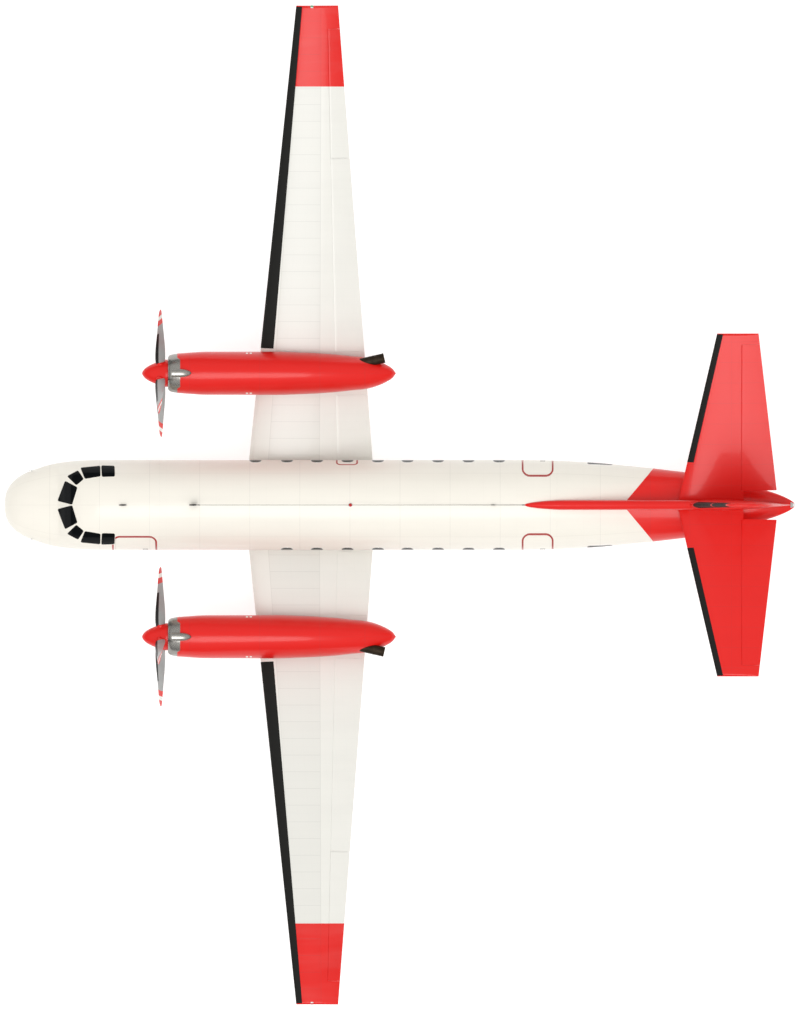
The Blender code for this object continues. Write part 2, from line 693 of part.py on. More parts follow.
def hinge_points(surface, y_range, hinge_x):
    """Both ends of a control surface's hinge axis, in the surface's level frame."""
    return [Vector((hinge_x(y), y, sum(surface.heights(hinge_x(y), y)) / 2)) for y in y_range]


def wing_hinge_x(y):
    return WING_HINGE_X + WING_HINGE_SWEEP * (y - WING_ROOT)


def elevator_hinge_x(y):
    return ELEVATOR_HINGE_X


def main_wing():
    edges = (WING_ROOT, WING_ROOT_EDGES, WING_SWEEPS, wing_tip())
    return Surface(*edges, WING_THICKNESS, WING_INCIDENCE, CAMBER)


def wing_tip():
    """The half span, measured along the dihedral."""
    return HALF_SPAN / math.cos(WING_DIHEDRAL)


def tailplane_surface():
    tip = TAILPLANE_HALF_SPAN / math.cos(TAILPLANE_DIHEDRAL)
    return Surface(0.0, TAILPLANE_ROOT_EDGES, TAILPLANE_SWEEPS, tip, (TAIL_THICKNESS,) * 2, (0.0, 0.0), 0.0)


def hinge_pin(surface, end_y, inside_y, hinge_x):
    """A short pin on the hinge axis, its flat end close to the rib that carries it."""
    rings = []
    for y in sorted((end_y, inside_y)):
        x = hinge_x(y)
        z = sum(surface.heights(x, y)) / 2
        r = HINGE_PIN_RADIUS
        rings.append([Vector((x + r * math.cos(a), y, z + r * math.sin(a))) for a in turns(8)])
    return skin_of_rings("pin", rings, white_paint())


def make_moving_surface(name, surface, y_range, hinge_x, material, dihedral, height, gap):
    """A flap, aileron or elevator, with its origin at the inner end of its hinge axis."""
    low, high = y_range
    rings = [surface.moving_ring(y, hinge_x(y), 0.0, False) for y in (low + gap, high - gap)]
    right = skin_of_rings(name + "_right", rings, material)
    if gap > FLAP_GAP:
        for end, inward in ((low, 1), (high, -1)):
            pin = hinge_pin(surface, end + inward * FLAP_GAP, end + inward * (gap + 0.03), hinge_x)
            join(right, pin)
    tilted(right, dihedral, height)
    left = mirror_image(right, name + "_left")
    turn = Matrix.Translation((0, 0, height)) @ Matrix.Rotation(dihedral, 4, "X")
    axis_point = turn @ hinge_points(surface, y_range, hinge_x)[0]
    place_origin(right, axis_point)
    place_origin(left, Vector((axis_point.x, -axis_point.y, axis_point.z)))


def cove_cutter(surface, y_range, hinge_x, gap):
    rings = [surface.moving_ring(y, hinge_x(y), gap, True) for y in y_range]
    return skin_of_rings("cove", rings, white_paint())


def make_wings():
    wing = main_wing()
    white = white_paint()
    right = wing.solid("wing_right", (0.2, WING_ROOT, NACELLE_Y, 9.0, wing_tip()), white)
    pieces = (
        ("inboard_flap", INBOARD_FLAP, FLAP_GAP),
        ("outboard_flap", OUTBOARD_FLAP, FLAP_GAP),
        ("aileron", AILERON, CLEARANCE),
    )
    for name, y_range, gap in pieces:
        cut(right, cove_cutter(wing, y_range, wing_hinge_x, gap))
    tilted(right, WING_DIHEDRAL, WING_PLANE_Z)
    cut(right, fuselage_form("body", -6.0, 1.0, GAP, white))
    mirror_image(right, "wing_left")
    for name, y_range, gap in pieces:
        make_moving_surface(name, wing, y_range, wing_hinge_x, white, WING_DIHEDRAL, WING_PLANE_Z, gap)


def wing_form(grow):
    form = main_wing().solid("wing_form", (WING_ROOT, NACELLE_Y, 9.0), white_paint(), grow)
    return tilted(form, WING_DIHEDRAL, WING_PLANE_Z)


def fin_ring(z, grow=0.0, first=0.0, steps=AIRFOIL_STEPS):
    """A level slice of the fin: a thin symmetrical section, from a share of its chord to its rear edge."""
    at_height = (z - FIN_BASE_Z) / (FIN_TOP_Z - FIN_BASE_Z)
    lead, trail = [a + (b - a) * at_height for a, b in zip(*FIN_EDGES)]
    points = []
    for side in (1, -1):
        shares = [first + (1 - first) * (0.5 - 0.5 * math.cos(math.pi * i / steps)) for i in range(steps + 1)]
        for at in reversed(shares) if side > 0 else shares[1:]:
            half = airfoil(at, TAIL_THICKNESS, 0)[0] * (trail - lead) + EDGE_THICK / 2 * at
            points.append(Vector((lead + at * (trail - lead) + (2 * at - 1) * grow, side * (half + grow), z)))
    return points


def fin_half_thickness(x, z):
    at_height = (z - FIN_BASE_Z) / (FIN_TOP_Z - FIN_BASE_Z)
    lead, trail = [a + (b - a) * at_height for a, b in zip(*FIN_EDGES)]
    at = (x - lead) / (trail - lead)
    return airfoil(at, TAIL_THICKNESS, 0)[0] * (trail - lead) + EDGE_THICK / 2 * at, trail


def rudder_ring(z, grow, past):
    radius, trail = fin_half_thickness(RUDDER_HINGE_X, z)
    points = [
        Vector((RUDDER_HINGE_X - (radius + grow) * math.sin(a), (radius + grow) * math.cos(a), z))
        for a in [math.pi * i / 6 for i in range(7)]
    ]
    if past:
        wide = radius + grow + 0.05
        return points + [Vector((trail + 0.4, -wide, z)), Vector((trail + 0.4, wide, z))]
    shares = (0.35, 0.7, 1.0)
    rear = [RUDDER_HINGE_X + share * (trail - RUDDER_HINGE_X) for share in shares]
    side = [(x, fin_half_thickness(x, z)[0]) for x in rear]
    return points + [Vector((x, -y, z)) for x, y in side] + [Vector((x, y, z)) for x, y in side[::-1]]


def dorsal_ring(x, width_share, height, grow):
    """The long fillet before the fin: upright sides and a round top."""
    half = DORSAL_HALF_WIDTH * width_share + grow
    base, crown = FIN_BASE_Z - 0.1, 4.05
    points = [Vector((x, -half, base)), Vector((x, half, base))]
    lift = min(half, height)
    for a in [math.pi * i / 8 for i in range(9)]:
        points.append(Vector((x, half * math.cos(a), crown + height - lift + (lift + grow) * math.sin(a))))
    return points


def fin_form(name, grow):
    """The fin with its long dorsal fillet, before the rudder is cut away."""
    fin = skin_of_rings(name, [fin_ring(z, grow) for z in (FIN_BASE_Z - 0.1, 5.6, FIN_TOP_Z)], red_paint())
    dorsal = skin_of_rings("dorsal", [dorsal_ring(*row, grow) for row in DORSAL_SECTIONS], red_paint())
    return join(fin, dorsal)


def make_fin():
    fin = fin_form("fin", 0.0)
    bottom, top = RUDDER_Z
    heights = (bottom - CLEARANCE, top + CLEARANCE)
    cut(fin, skin_of_rings("cove", [rudder_ring(z, CLEARANCE, True) for z in heights], red_paint()))
    cut(fin, fuselage_form("body", 3.0, 11.3, GAP, red_paint()))
    rudder = skin_of_rings("rudder", [rudder_ring(z, 0.0, False) for z in (bottom, top)], red_paint())
    for end, inward in ((heights[0] + FLAP_GAP, bottom + 0.03), (heights[1] - FLAP_GAP, top - 0.03)):
        ends = [(RUDDER_HINGE_X, 0, z) for z in (end, inward)]
        pin = rod("pin", *ends, HINGE_PIN_RADIUS, red_paint(), 8)
        join(rudder, pin)
    place_origin(rudder, Vector((RUDDER_HINGE_X, 0, bottom)))


def make_tailplane():
    surface = tailplane_surface()
    red = red_paint()
    right = surface.solid("tailplane_right", (0.02, 1.2, surface.tip), red)
    cut(right, cove_cutter(surface, ELEVATOR, elevator_hinge_x, CLEARANCE))
    behind_rib = (ELEVATOR_HINGE_X + INNER_RIB_REACH, -0.1, -0.5)
    cut(right, box("inboard_cut", behind_rib, (12.0, ELEVATOR[0] + 0.002, 0.5), red))
    tilted(right, TAILPLANE_DIHEDRAL, TAILPLANE_Z)
    cut(right, fuselage_form("body", 7.5, 11.5, GAP, red), fin_form("fin_root", GAP))
    mirror_image(right, "tailplane_left")
    place = (red, TAILPLANE_DIHEDRAL, TAILPLANE_Z, CLEARANCE)
    make_moving_surface("elevator", surface, ELEVATOR, elevator_hinge_x, *place)


# Nacelles, engines and propellers


def nacelle_ring(row, grow):
    x, half_width, top, bottom, widest = row
    ring = []
    for angle in turns(NACELLE_SIDES):
        c, s = math.cos(angle), math.sin(angle)
        reach = top - widest if s >= 0 else widest - bottom
        ring.append(Vector((x, NACELLE_Y + (half_width + grow) * c, widest + (reach + grow) * s)))
    return ring


def nacelle_form(name, grow):
    tip = Vector((NACELLE_TIP_X + grow, NACELLE_Y, NACELLE_TIP_Z))
    return skin_of_rings(name, [nacelle_ring(row, grow) for row in NACELLE_SECTIONS], red_paint(), None, tip)


def make_nacelles():
    red = red_paint()
    centre = Vector((0, NACELLE_Y, THRUST_Z))
    right = nacelle_form("nacelle_right", 0.0)
    bay_ends = [centre + Vector((x, 0, 0)) for x in (-7.5, FIREWALL_X)]
    cut(right, rod("engine_bay", *bay_ends, ENGINE_BAY_RADIUS, red, 24))
    cut(right, wing_form(2 * GAP))
    bay_x, half_width, roof = MAIN_BAY
    corners = [(x, NACELLE_Y + y, z) for x, y, z in zip(bay_x, (-half_width, half_width), (1.0, roof))]
    cut(right, box("bay", *corners, red))
    mirror_image(right, "nacelle_left")

    engine_ends = [centre + Vector((x, 0, 0)) for x in (ENGINE_FRONT_X, FIREWALL_X - GAP)]
    engine = rod("engine_right", *engine_ends, ENGINE_RADIUS, gear_metal(), 20)
    mirror_image(engine, "engine_left")

    metal = polished_metal()
    ring = turned("intake_ring_right", INTAKE_PROFILE, centre, "X", metal, NACELLE_SIDES, closed=True)
    length, half_width, height = SCOOP_SIZE
    profile = [(-length * math.cos(a), math.sin(a)) for a in [math.pi * i / 6 for i in range(7)]]
    profile[0], profile[-1] = (-length, 0.0), (length, 0.0)
    scoop = turned("scoop", profile, (0, 0, 0), "X", polished_metal(), 12)
    place = Matrix.Translation((SCOOP_CENTRE_X, NACELLE_Y, THRUST_Z + SCOOP_HEIGHT))
    scoop.matrix_world = place @ Matrix.Diagonal((1, half_width, height, 1))
    join(ring, bake(scoop))
    cut(ring, nacelle_form("nacelle_skin", GAP))
    bore_ends = [centre + Vector((x, 0, 0)) for x in (-7.2, -6.0)]
    cut(ring, rod("bore", *bore_ends, INTAKE_BORE_RADIUS, polished_metal(), NACELLE_SIDES))
    mirror_image(ring, "intake_ring_left")


def make_exhausts():
    along = Vector((math.cos(EXHAUST_TOE_OUT), math.sin(EXHAUST_TOE_OUT), 0))
    start = EXHAUST_END - along * EXHAUST_LENGTH
    pipe = rod("exhaust_right", start, EXHAUST_END, EXHAUST_RADIUS, burnt_metal(), 20)
    inside = EXHAUST_RADIUS - EXHAUST_WALL
    cut(pipe, rod("bore", EXHAUST_END - along * 0.30, EXHAUST_END + along * 0.1, inside, burnt_metal(), 20))
    cut(pipe, nacelle_form("nacelle_skin", GAP))
    mirror_image(pipe, "exhaust_left")


def blade_ring(radius, chord, thickness, pitch):
    """A blade's section, radius up the z axis, its leading edge turned forward to -X by its pitch."""
    along = Vector((-math.sin(math.radians(pitch)), -math.cos(math.radians(pitch)), 0))
    across = Vector((-along.y, along.x, 0))
    points = []
    for a in turns(BLADE_SIDES):
        s, c = math.sin(a), math.cos(a)
        fullness = 1 + 0.35 * c * (1 - thickness / chord)
        aside = across * (thickness / 2 * s * fullness)
        points.append(Vector((0, 0, radius)) + along * (chord / 2 * c) + aside)
    return points


def make_blade(name, grow=0.0):
    """A blade with its round shank, pointing up from the hub's middle."""
    shank = 2 * SHANK_RADIUS
    rows = [(z, shank, shank, BLADE_SECTIONS[0][3]) for z in (0.05, SHANK_END)] + list(BLADE_SECTIONS)
    rings = [blade_ring(r, chord + 2 * grow, thick + 2 * grow, pitch) for r, chord, thick, pitch in rows]
    return skin_of_rings(name, rings, blade_metal())


def make_propeller(side, sign):
    centre = Vector((PROP_X, NACELLE_Y * sign, THRUST_Z))
    shaft_end = SHAFT_END_X - PROP_X
    profile = [(-0.20, 0.12), (-0.12, HUB_RADIUS), (0.12, HUB_RADIUS)]
    profile += [(0.15, SHAFT_RADIUS), (shaft_end, SHAFT_RADIUS)]
    hub = turned("propeller_blades_" + side, profile, centre, "X", blade_metal(), SPINNER_SIDES)
    holes = []
    for k in range(BLADES):
        angle = BLADE_ANGLES[side] + math.pi / 2 * k
        turn = Matrix.Translation(centre) @ Matrix.Rotation(angle - math.pi / 2, 4, "X")
        blade = make_blade("blade")
        blade.matrix_world = turn
        join(hub, bake(blade))
        hole = make_blade("hole", BLADE_HOLE_GAP)
        hole.matrix_world = turn
        holes.append(bake(hole))
    place_origin(hub, centre)

    outside = [(x - PROP_X, r) for x, r in SPINNER_PROFILE]
    back, rim = outside[-1]
    spinner = turned("spinner_" + side, outside + [(back, 0.0)], centre, "X", red_paint(), SPINNER_SIDES)
    cavity = [(SPINNER_CAVITY[0][0] - PROP_X, 0.0)] + [(x - PROP_X, r) for x, r in SPINNER_CAVITY]
    floor = back - SPINNER_WALL
    cavity += [(floor, rim - SPINNER_WALL), (floor, 0.0)]
    cut(spinner, turned("cavity", cavity, centre, "X", red_paint(), SPINNER_SIDES))
    hole = [(0.0, 0.0), (0.0, SHAFT_RADIUS + GAP), (0.4, SHAFT_RADIUS + GAP), (0.4, 0.0)]
    cut(spinner, turned("shaft_hole", hole, centre, "X", red_paint(), SPINNER_SIDES), *holes)
    place_origin(spinner, centre)


# Landing gear


def tyre_profile(radius, half_width, rim):
    """Closed outline of a tyre's section, as distance across and radius, its flats at the tyre's radius."""
    flat, bead = 0.55 * half_width, RIM_SHARE * half_width
    radius /= math.cos(math.pi / WHEEL_SIDES)
    shoulder, bulge = radius - 0.045, (radius + rim) / 2
    return [
        (-flat, radius), (flat, radius), (half_width * 0.90, shoulder), (half_width, bulge), (bead, rim),
        (-bead, rim), (-half_width, bulge), (-half_width * 0.90, shoulder),
    ]


def make_wheel_pair(prefix, side, centre, tyre, rim, axle_radius):
    """Two tyres on rims that share one live axle."""
    radius, half_width, reach = tyre
    for sign, place in ((1, "starboard"), (-1, "port")):
        middle = Vector(centre) + Vector((0, sign * reach, 0))
        name = f"{prefix}_tyre_{side}_{place}" if side else f"{prefix}_tyre_{place}"
        profile = tyre_profile(radius, half_width, rim)
        made = turned(name, profile, middle, "Y", tyre_rubber(), WHEEL_SIDES, closed=True)
        place_origin(made, middle)
    hub = None
    for sign in (1, -1):
        middle = Vector(centre) + Vector((0, sign * reach, 0))
        w = RIM_SHARE * half_width
        seat = rim - GAP
        dish, boss = w - 0.045, w + 0.005
        profile = [
            (-w, 0.0), (-w, seat), (w, seat), (w, seat - 0.03), (dish, 0.65 * seat), (dish, 0.40 * seat),
            (boss, 0.30 * seat), (boss, 0.0),
        ]
        if sign < 0:
            profile = [(-d, r) for d, r in profile[::-1]]
        disc = turned("disc", profile, middle, "Y", gear_metal(), WHEEL_SIDES)
        if hub is None:
            hub = disc
        else:
            join(hub, disc)
    middle = Vector(centre)
    half = Vector((0, reach, 0))
    shaft = rod("shaft", middle - half, middle + half, axle_radius, gear_metal(), AXLE_SIDES)
    join(hub, shaft)
    hub.name = f"{prefix}_hubs_{side}" if side else f"{prefix}_hubs"
    place_origin(hub, middle)


def make_main_gear():
    metal = gear_metal()
    x, y = MAIN_GEAR_X, NACELLE_Y
    leg = rod("main_leg_right", (x, y, MAIN_PISTON_TOP_Z), (x, y, MAIN_LEG_TOP_Z), MAIN_LEG_RADIUS, metal)
    collar_ends = [(x, y, z) for z in MAIN_COLLAR_Z]
    join(leg, rod("collar", *collar_ends, MAIN_LEG_RADIUS + 0.03, metal))
    reach = MAIN_BAY[1] - GAP
    trunnion = [(x, y + side * reach, MAIN_TRUNNION_Z) for side in (-1, 1)]
    join(leg, rod("trunnion", *trunnion, TRUNNION_RADIUS, metal, 12))
    head_x, head_z = MAIN_STRUT_HEAD
    for across in (-0.13, 0.13):
        foot = (x, y + across * 0.6, MAIN_STRUT_FOOT_Z)
        join(leg, rod("drag_strut", foot, (head_x, y + across, head_z), STRUT_RADIUS, metal, 8))
    cut(leg, wing_form(2 * GAP))
    mirror_image(leg, "main_leg_left")

    centre = Vector((x, y, MAIN_TYRE[0]))
    piston = rod("main_axle_right", centre, (x, y, MAIN_PISTON_TOP_Z - GAP), MAIN_PISTON_RADIUS, metal)
    join(piston, knuckle(centre, MAIN_TYRE, MAIN_AXLE_RADIUS + 0.035))
    add_torque_links(piston, centre, MAIN_LINKS, 0.03)
    cut(piston, axle_bore(centre, MAIN_AXLE_RADIUS))
    mirror_image(piston, "main_axle_left")

    for side, sign in (("right", 1), ("left", -1)):
        centre = (x, sign * y, MAIN_TYRE[0])
        make_wheel_pair("main", side, centre, MAIN_TYRE, MAIN_RIM_RADIUS, MAIN_AXLE_RADIUS)

    (first_x, last_x), bottom, top, half_thick = MAIN_DOOR
    for sign, place in ((1, "outer"), (-1, "inner")):
        middle = y + sign * (MAIN_BAY[1] - half_thick - GAP)
        low, high = (first_x, middle - half_thick, bottom), (last_x, middle + half_thick, top)
        door = box(f"main_door_right_{place}", low, high, red_paint())
        mirror_image(door, f"main_door_left_{place}")


def knuckle(centre, tyre, radius):
    """The sleeve that carries the axle, nearly as long as the space between the tyres."""
    half = Vector((0, tyre[2] - tyre[1] - 0.01, 0))
    return rod("knuckle", centre - half, centre + half, radius, gear_metal(), AXLE_SIDES)


def add_torque_links(piston, centre, links, half_width):
    """The scissor behind the piston, as one bracket: boxes of x behind the leg and of height."""
    for first_x, bottom, last_x, top in links:
        low = (centre.x + first_x, centre.y - half_width, bottom)
        high = (centre.x + last_x, centre.y + half_width, top)
        join(piston, box("torque_link", low, high, gear_metal()))


def axle_bore(centre, axle_radius):
    half = Vector((0, 0.5, 0))
    return rod("bore", centre - half, centre + half, axle_radius + AXLE_PLAY, gear_metal(), AXLE_SIDES)


def make_nose_gear():
    metal = gear_metal()
    x = NOSE_GEAR_X
    leg = rod("nose_leg", (x, 0, NOSE_FORK_TOP_Z), (x, 0, NOSE_BAY[2] - GAP), NOSE_LEG_RADIUS, metal)
    join(leg, rod("drag_strut", (x, 0, NOSE_STRUT_FOOT_Z), NOSE_STRUT_HEAD, STRUT_RADIUS, metal, 8))
    reach = NOSE_BAY[1] - GAP
    trunnion = [(x, side * reach, NOSE_TRUNNION_Z) for side in (-1, 1)]
    join(leg, rod("trunnion", *trunnion, TRUNNION_RADIUS, metal, 12))
    cut(leg, box("roof", (-11.0, -0.5, NOSE_BAY[2] - GAP), (-9.0, 0.5, 2.6), metal))

    centre = Vector((x, 0, NOSE_TYRE[0]))
    fork = rod("nose_fork", centre, (x, 0, NOSE_FORK_TOP_Z - GAP), NOSE_PISTON_RADIUS, metal)
    join(fork, knuckle(centre, NOSE_TYRE, NOSE_AXLE_RADIUS + 0.03))
    join(fork, rod("collar", (x, 0, NOSE_COLLAR_Z), (x, 0, NOSE_FORK_TOP_Z - GAP), NOSE_LEG_RADIUS, metal))
    add_torque_links(fork, centre, NOSE_LINKS, 0.025)
    cut(fork, axle_bore(centre, NOSE_AXLE_RADIUS))
    place_origin(fork, centre)
    make_wheel_pair("nose", "", centre, NOSE_TYRE, NOSE_RIM_RADIUS, NOSE_AXLE_RADIUS)

    (first_x, last_x), bottom, top, half_thick = NOSE_DOOR
    for sign, side in ((1, "right"), (-1, "left")):
        middle = sign * (NOSE_BAY[1] - half_thick - GAP)
        low, high = (first_x, middle - half_thick, bottom), (last_x, middle + half_thick, top)
        box("nose_door_" + side, low, high, white_paint())


def main():
    for obj in list(bpy.data.objects):
        bpy.data.objects.remove(obj)
    make_fuselage()
    make_doors()
    make_ramp()
    make_upper_door()
    make_wings()
    make_fin()
    make_tailplane()
    make_nacelles()
    make_exhausts()
    make_propeller("right", 1)
    make_propeller("left", -1)
    make_main_gear()
    make_nose_gear()
    for obj in bpy.data.objects:
        smooth(obj)


main()
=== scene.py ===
"""Looks of a twin turboprop transport aircraft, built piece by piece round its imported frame.

Metres, +Z up. The nose points to -X and the right wing to +Y.
"""

import json
import math

import bmesh
import bpy
import numpy as np
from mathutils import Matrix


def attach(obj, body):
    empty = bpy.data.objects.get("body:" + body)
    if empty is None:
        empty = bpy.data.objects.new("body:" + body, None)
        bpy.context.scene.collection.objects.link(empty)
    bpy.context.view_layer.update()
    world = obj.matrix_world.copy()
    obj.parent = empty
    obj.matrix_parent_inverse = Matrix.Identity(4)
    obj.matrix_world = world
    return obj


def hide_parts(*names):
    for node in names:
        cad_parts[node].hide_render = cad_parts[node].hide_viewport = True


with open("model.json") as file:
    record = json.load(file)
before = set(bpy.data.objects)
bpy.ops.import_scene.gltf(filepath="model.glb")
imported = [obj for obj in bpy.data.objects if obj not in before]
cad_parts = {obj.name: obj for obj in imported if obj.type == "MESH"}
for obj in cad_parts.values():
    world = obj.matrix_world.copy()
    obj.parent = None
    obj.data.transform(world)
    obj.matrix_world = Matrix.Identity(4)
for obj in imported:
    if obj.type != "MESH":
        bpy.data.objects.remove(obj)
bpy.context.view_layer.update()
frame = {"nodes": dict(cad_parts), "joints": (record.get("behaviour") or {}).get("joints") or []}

# Fuselage skins
# Light alloy sheets riveted flush over round frames, in four sections that meet at butt joints. They are
# sprayed gloss cream white, with a red tail and red lines round the doors. Linings and cut edges inside are
# pale grey.
NOSE_X, TAIL_X = -11.865, 11.865
NOSE_JOINT_X, REAR_JOINT_X, CONE_JOINT_X = -7.20, 4.70, 8.55
BULKHEAD_X = -8.60  # the nose is closed ahead of it
CONE_HOLLOW_END = 11.0
SKIN, REAR_SKIN = 0.09, 0.06  # thickness of the wall
JOINT_GAP, DOOR_GAP, RAMP_GAP = 0.001, 0.004, 0.008
CREAM = (0.800, 0.765, 0.690)
RED = (0.680, 0.008, 0.005)
LINING_GREY = (0.42, 0.43, 0.42)
# Columns: x, half width, top, bottom, height of the widest line, power of the lower half (2 is an ellipse)
FUSELAGE = np.array((
    (NOSE_X, 0.0, 2.32, 2.32, 2.32, 2.0),
    (NOSE_X + 0.03, 0.315, 2.56, 2.10, 2.33, 2.0),
    (NOSE_X + 0.105, 0.506, 2.70, 1.97, 2.34, 2.0),
    (NOSE_X + 0.225, 0.672, 2.82, 1.86, 2.36, 2.0),
    (NOSE_X + 0.405, 0.830, 2.93, 1.75, 2.38, 2.0),
    (NOSE_X + 0.645, 0.968, 3.02, 1.65, 2.42, 2.0),
    (NOSE_X + 0.945, 1.080, 3.09, 1.56, 2.47, 2.0),
    (NOSE_X + 1.275, 1.187, 3.15, 1.49, 2.52, 2.0),
    (NOSE_X + 1.605, 1.257, 3.22, 1.44, 2.57, 2.0),
    (NOSE_X + 1.845, 1.292, 3.50, 1.41, 2.61, 2.0),
    (NOSE_X + 2.070, 1.317, 3.74, 1.39, 2.64, 2.0),
    (NOSE_X + 2.385, 1.339, 3.92, 1.37, 2.67, 2.0),
    (NOSE_X + 2.895, 1.350, 4.03, 1.35, 2.70, 2.0),
    (-8.30, 1.350, 4.05, 1.35, 2.70, 2.0),
    (3.60, 1.350, 4.05, 1.35, 2.70, 2.0),
    (4.20, 1.345, 4.05, 1.38, 2.71, 2.0),
    (4.80, 1.325, 4.05, 1.46, 2.75, 2.1),
    (5.40, 1.295, 4.05, 1.63, 2.82, 2.3),
    (6.00, 1.255, 4.05, 1.82, 2.91, 2.5),
    (6.75, 1.185, 4.05, 2.08, 3.03, 2.6),
    (7.50, 1.110, 4.05, 2.34, 3.16, 2.6),
    (8.10, 1.040, 4.05, 2.55, 3.26, 2.6),
    (8.70, 0.965, 4.03, 2.76, 3.35, 2.5),
    (9.45, 0.840, 3.99, 3.00, 3.45, 2.3),
    (10.05, 0.710, 3.95, 3.16, 3.52, 2.2),
    (10.65, 0.550, 3.89, 3.30, 3.57, 2.0),
    (11.01, 0.430, 3.83, 3.38, 3.60, 2.0),
    (11.31, 0.330, 3.77, 3.44, 3.60, 2.0),
    (11.61, 0.200, 3.69, 3.51, 3.60, 2.0),
    (11.78, 0.090, 3.64, 3.56, 3.60, 2.0),
    (TAIL_X, 0.0, 3.60, 3.60, 3.60, 2.0),
))
RING = np.radians(np.linspace(-90, 270, 121))  # round the fuselage from the belly, up the right side and back
# Doors and exits. Columns: first x, last x, sill, top, corner radius, side (right is 1)
FRONT_DOOR = (-8.53, -7.335, 2.02, 3.655, 0.20, -1)
REAR_DOORS = {"right": (3.675, 4.575, 2.02, 3.725, 0.20, 1), "left": (3.675, 4.575, 2.02, 3.725, 0.20, -1)}
WING_EXIT = (-1.895, -1.285, 2.42, 3.30, 0.12, 1)
DOOR_REACH = (0.3, 1.7)  # the stretch to one side in which a door is cut from the wall
REAR_OPENING = ((4.76, 8.48), 0.80, (0.5, 3.4))  # x range, half width, z range of the cut
NOSE_BAY = ((-10.75, -9.38), 0.26, (1.0, 1.95))  # x range, half width, z range
RIVET_PITCH, RIVET_RADIUS = 0.030, 0.004
# First x of the red on the centre line, its lean outboard and its lean down the sides
TAIL_RED = (6.67, 0.84, 0.45)


def through(stations, values, at):
    """A smooth curve through a table's rows. Between two stations it is a cubic, whose slope at each station
    is the weighted harmonic mean of the chords on both sides, or 0 at a peak, so that it never swings past
    the rows."""
    step = np.diff(stations)[:, None]
    chord = np.diff(values, axis=0) / step
    near, far = 2 * step[1:] + step[:-1], step[1:] + 2 * step[:-1]
    with np.errstate(divide="ignore", invalid="ignore"):
        mean = (near + far) / (near / chord[:-1] + far / chord[1:])
    slope = np.vstack((chord[:1], np.where(chord[:-1] * chord[1:] > 0, mean, 0), chord[-1:]))
    k = np.clip(np.searchsorted(stations, at, "right") - 1, 0, len(stations) - 2)
    t = ((at - stations[k]) / step[k, 0])[:, None]
    a, b = values[k], values[k + 1]
    rise = step[k] * (slope[k] * t * (1 - t) ** 2 - slope[k + 1] * t**2 * (1 - t))
    return a + (b - a) * t**2 * (3 - 2 * t) + rise


def fuselage_sizes(x):
    """Half width, top, bottom, widest height and lower power at any x, each a smooth curve in the square
    root of the distance from the nose, which makes the nose blunt."""
    reach = np.sqrt(np.maximum(np.ravel(x) - NOSE_X, 0))
    sizes = through(np.sqrt(FUSELAGE[:, 0] - NOSE_X), FUSELAGE[:, 1:], reach)
    return sizes.T.reshape((5, *np.shape(x)))


def bent(value, power):
    """A value raised to a power, with its sign kept."""
    return np.sign(value) * np.abs(value) ** power


def fuselage_skin(x, inset=0.0, kind=0):
    """Rings at each x: y is the half width times the cosine of the angle, and z the reach over the widest
    line times its sine. Below that line both are raised to the power of 2 / p. The map is in metres along
    and round the body."""
    x, angle = np.meshgrid(x, RING, indexing="ij")
    half, top, bottom, widest, power = fuselage_sizes(x)
    c, s = np.cos(angle), np.sin(angle)
    bend = np.where(s < 0, 2 / power, 1)
    reach = np.where(s < 0, widest - bottom, top - widest) - inset
    y = np.maximum(half - inset, 0) * bent(c, bend)
    z = widest + np.maximum(reach, 0) * bent(s, bend)
    return np.stack((x, y, z), -1), np.stack((x, 1.35 * angle + 3 * kind), -1), kind


def joined_rows(*skins):
    """Grids laid one after another, as rows of one grid. The strip between two of them takes the later one's
    kind."""
    points, maps = [np.concatenate([skin[k] for skin in skins]) for k in (0, 1)]
    kinds = np.concatenate([np.full((len(skin[0]), 1), skin[2]) for skin in skins])[1:]
    return points, maps, kinds


def pole(point, like, kind=0):
    """A row of equal points, which closes a grid with the same columns."""
    points = np.broadcast_to(np.array(point, float), (1, like[0].shape[1], 3))
    return points, np.zeros((*points.shape[:2], 2)), kind


def capped(rings):
    """Closes rings with a row of equal points at each end, in the middle of the last ring there."""
    first, last = [np.broadcast_to(rings[row].mean(0), (1, *rings.shape[1:])) for row in (0, -1)]
    return np.concatenate((first, rings, last))


def piece(name, grids, materials):
    """One mesh from grids of points. Neighbours in rows and columns make four-sided faces, points in one
    place are merged, and the faces are turned outwards."""
    points, corners, maps, kinds, first = [], [], [], [], 0
    for place, uv, kind in grids:
        rows, columns = place.shape[:2]
        index = first + np.arange(rows * columns).reshape(rows, columns)
        quads = (index[:-1, :-1], index[:-1, 1:], index[1:, 1:], index[1:, :-1])
        corners.append(np.stack(quads, -1).reshape(-1, 4))
        kinds.append(np.broadcast_to(kind, (rows - 1, columns - 1)).ravel())
        points.append(place.reshape(-1, 3))
        maps.append(uv.reshape(-1, 2))
        first += rows * columns
    points, corners, maps, kinds = [np.concatenate(parts) for parts in (points, corners, maps, kinds)]
    mesh = bpy.data.meshes.new(name)
    mesh.from_pydata(points.tolist(), [], corners.tolist())
    mesh.uv_layers.new(name="metres").uv.foreach_set("vector", maps[corners.ravel()].ravel())
    mesh.polygons.foreach_set("material_index", kinds.astype(np.int32))
    work = bmesh.new()
    work.from_mesh(mesh)
    bmesh.ops.remove_doubles(work, verts=work.verts, dist=2e-5)
    bmesh.ops.recalc_face_normals(work, faces=work.faces)
    work.to_mesh(mesh)
    work.free()
    for material in materials:
        mesh.materials.append(material)
    made = bpy.data.objects.new(name, mesh)
    bpy.context.scene.collection.objects.link(made)
    return made


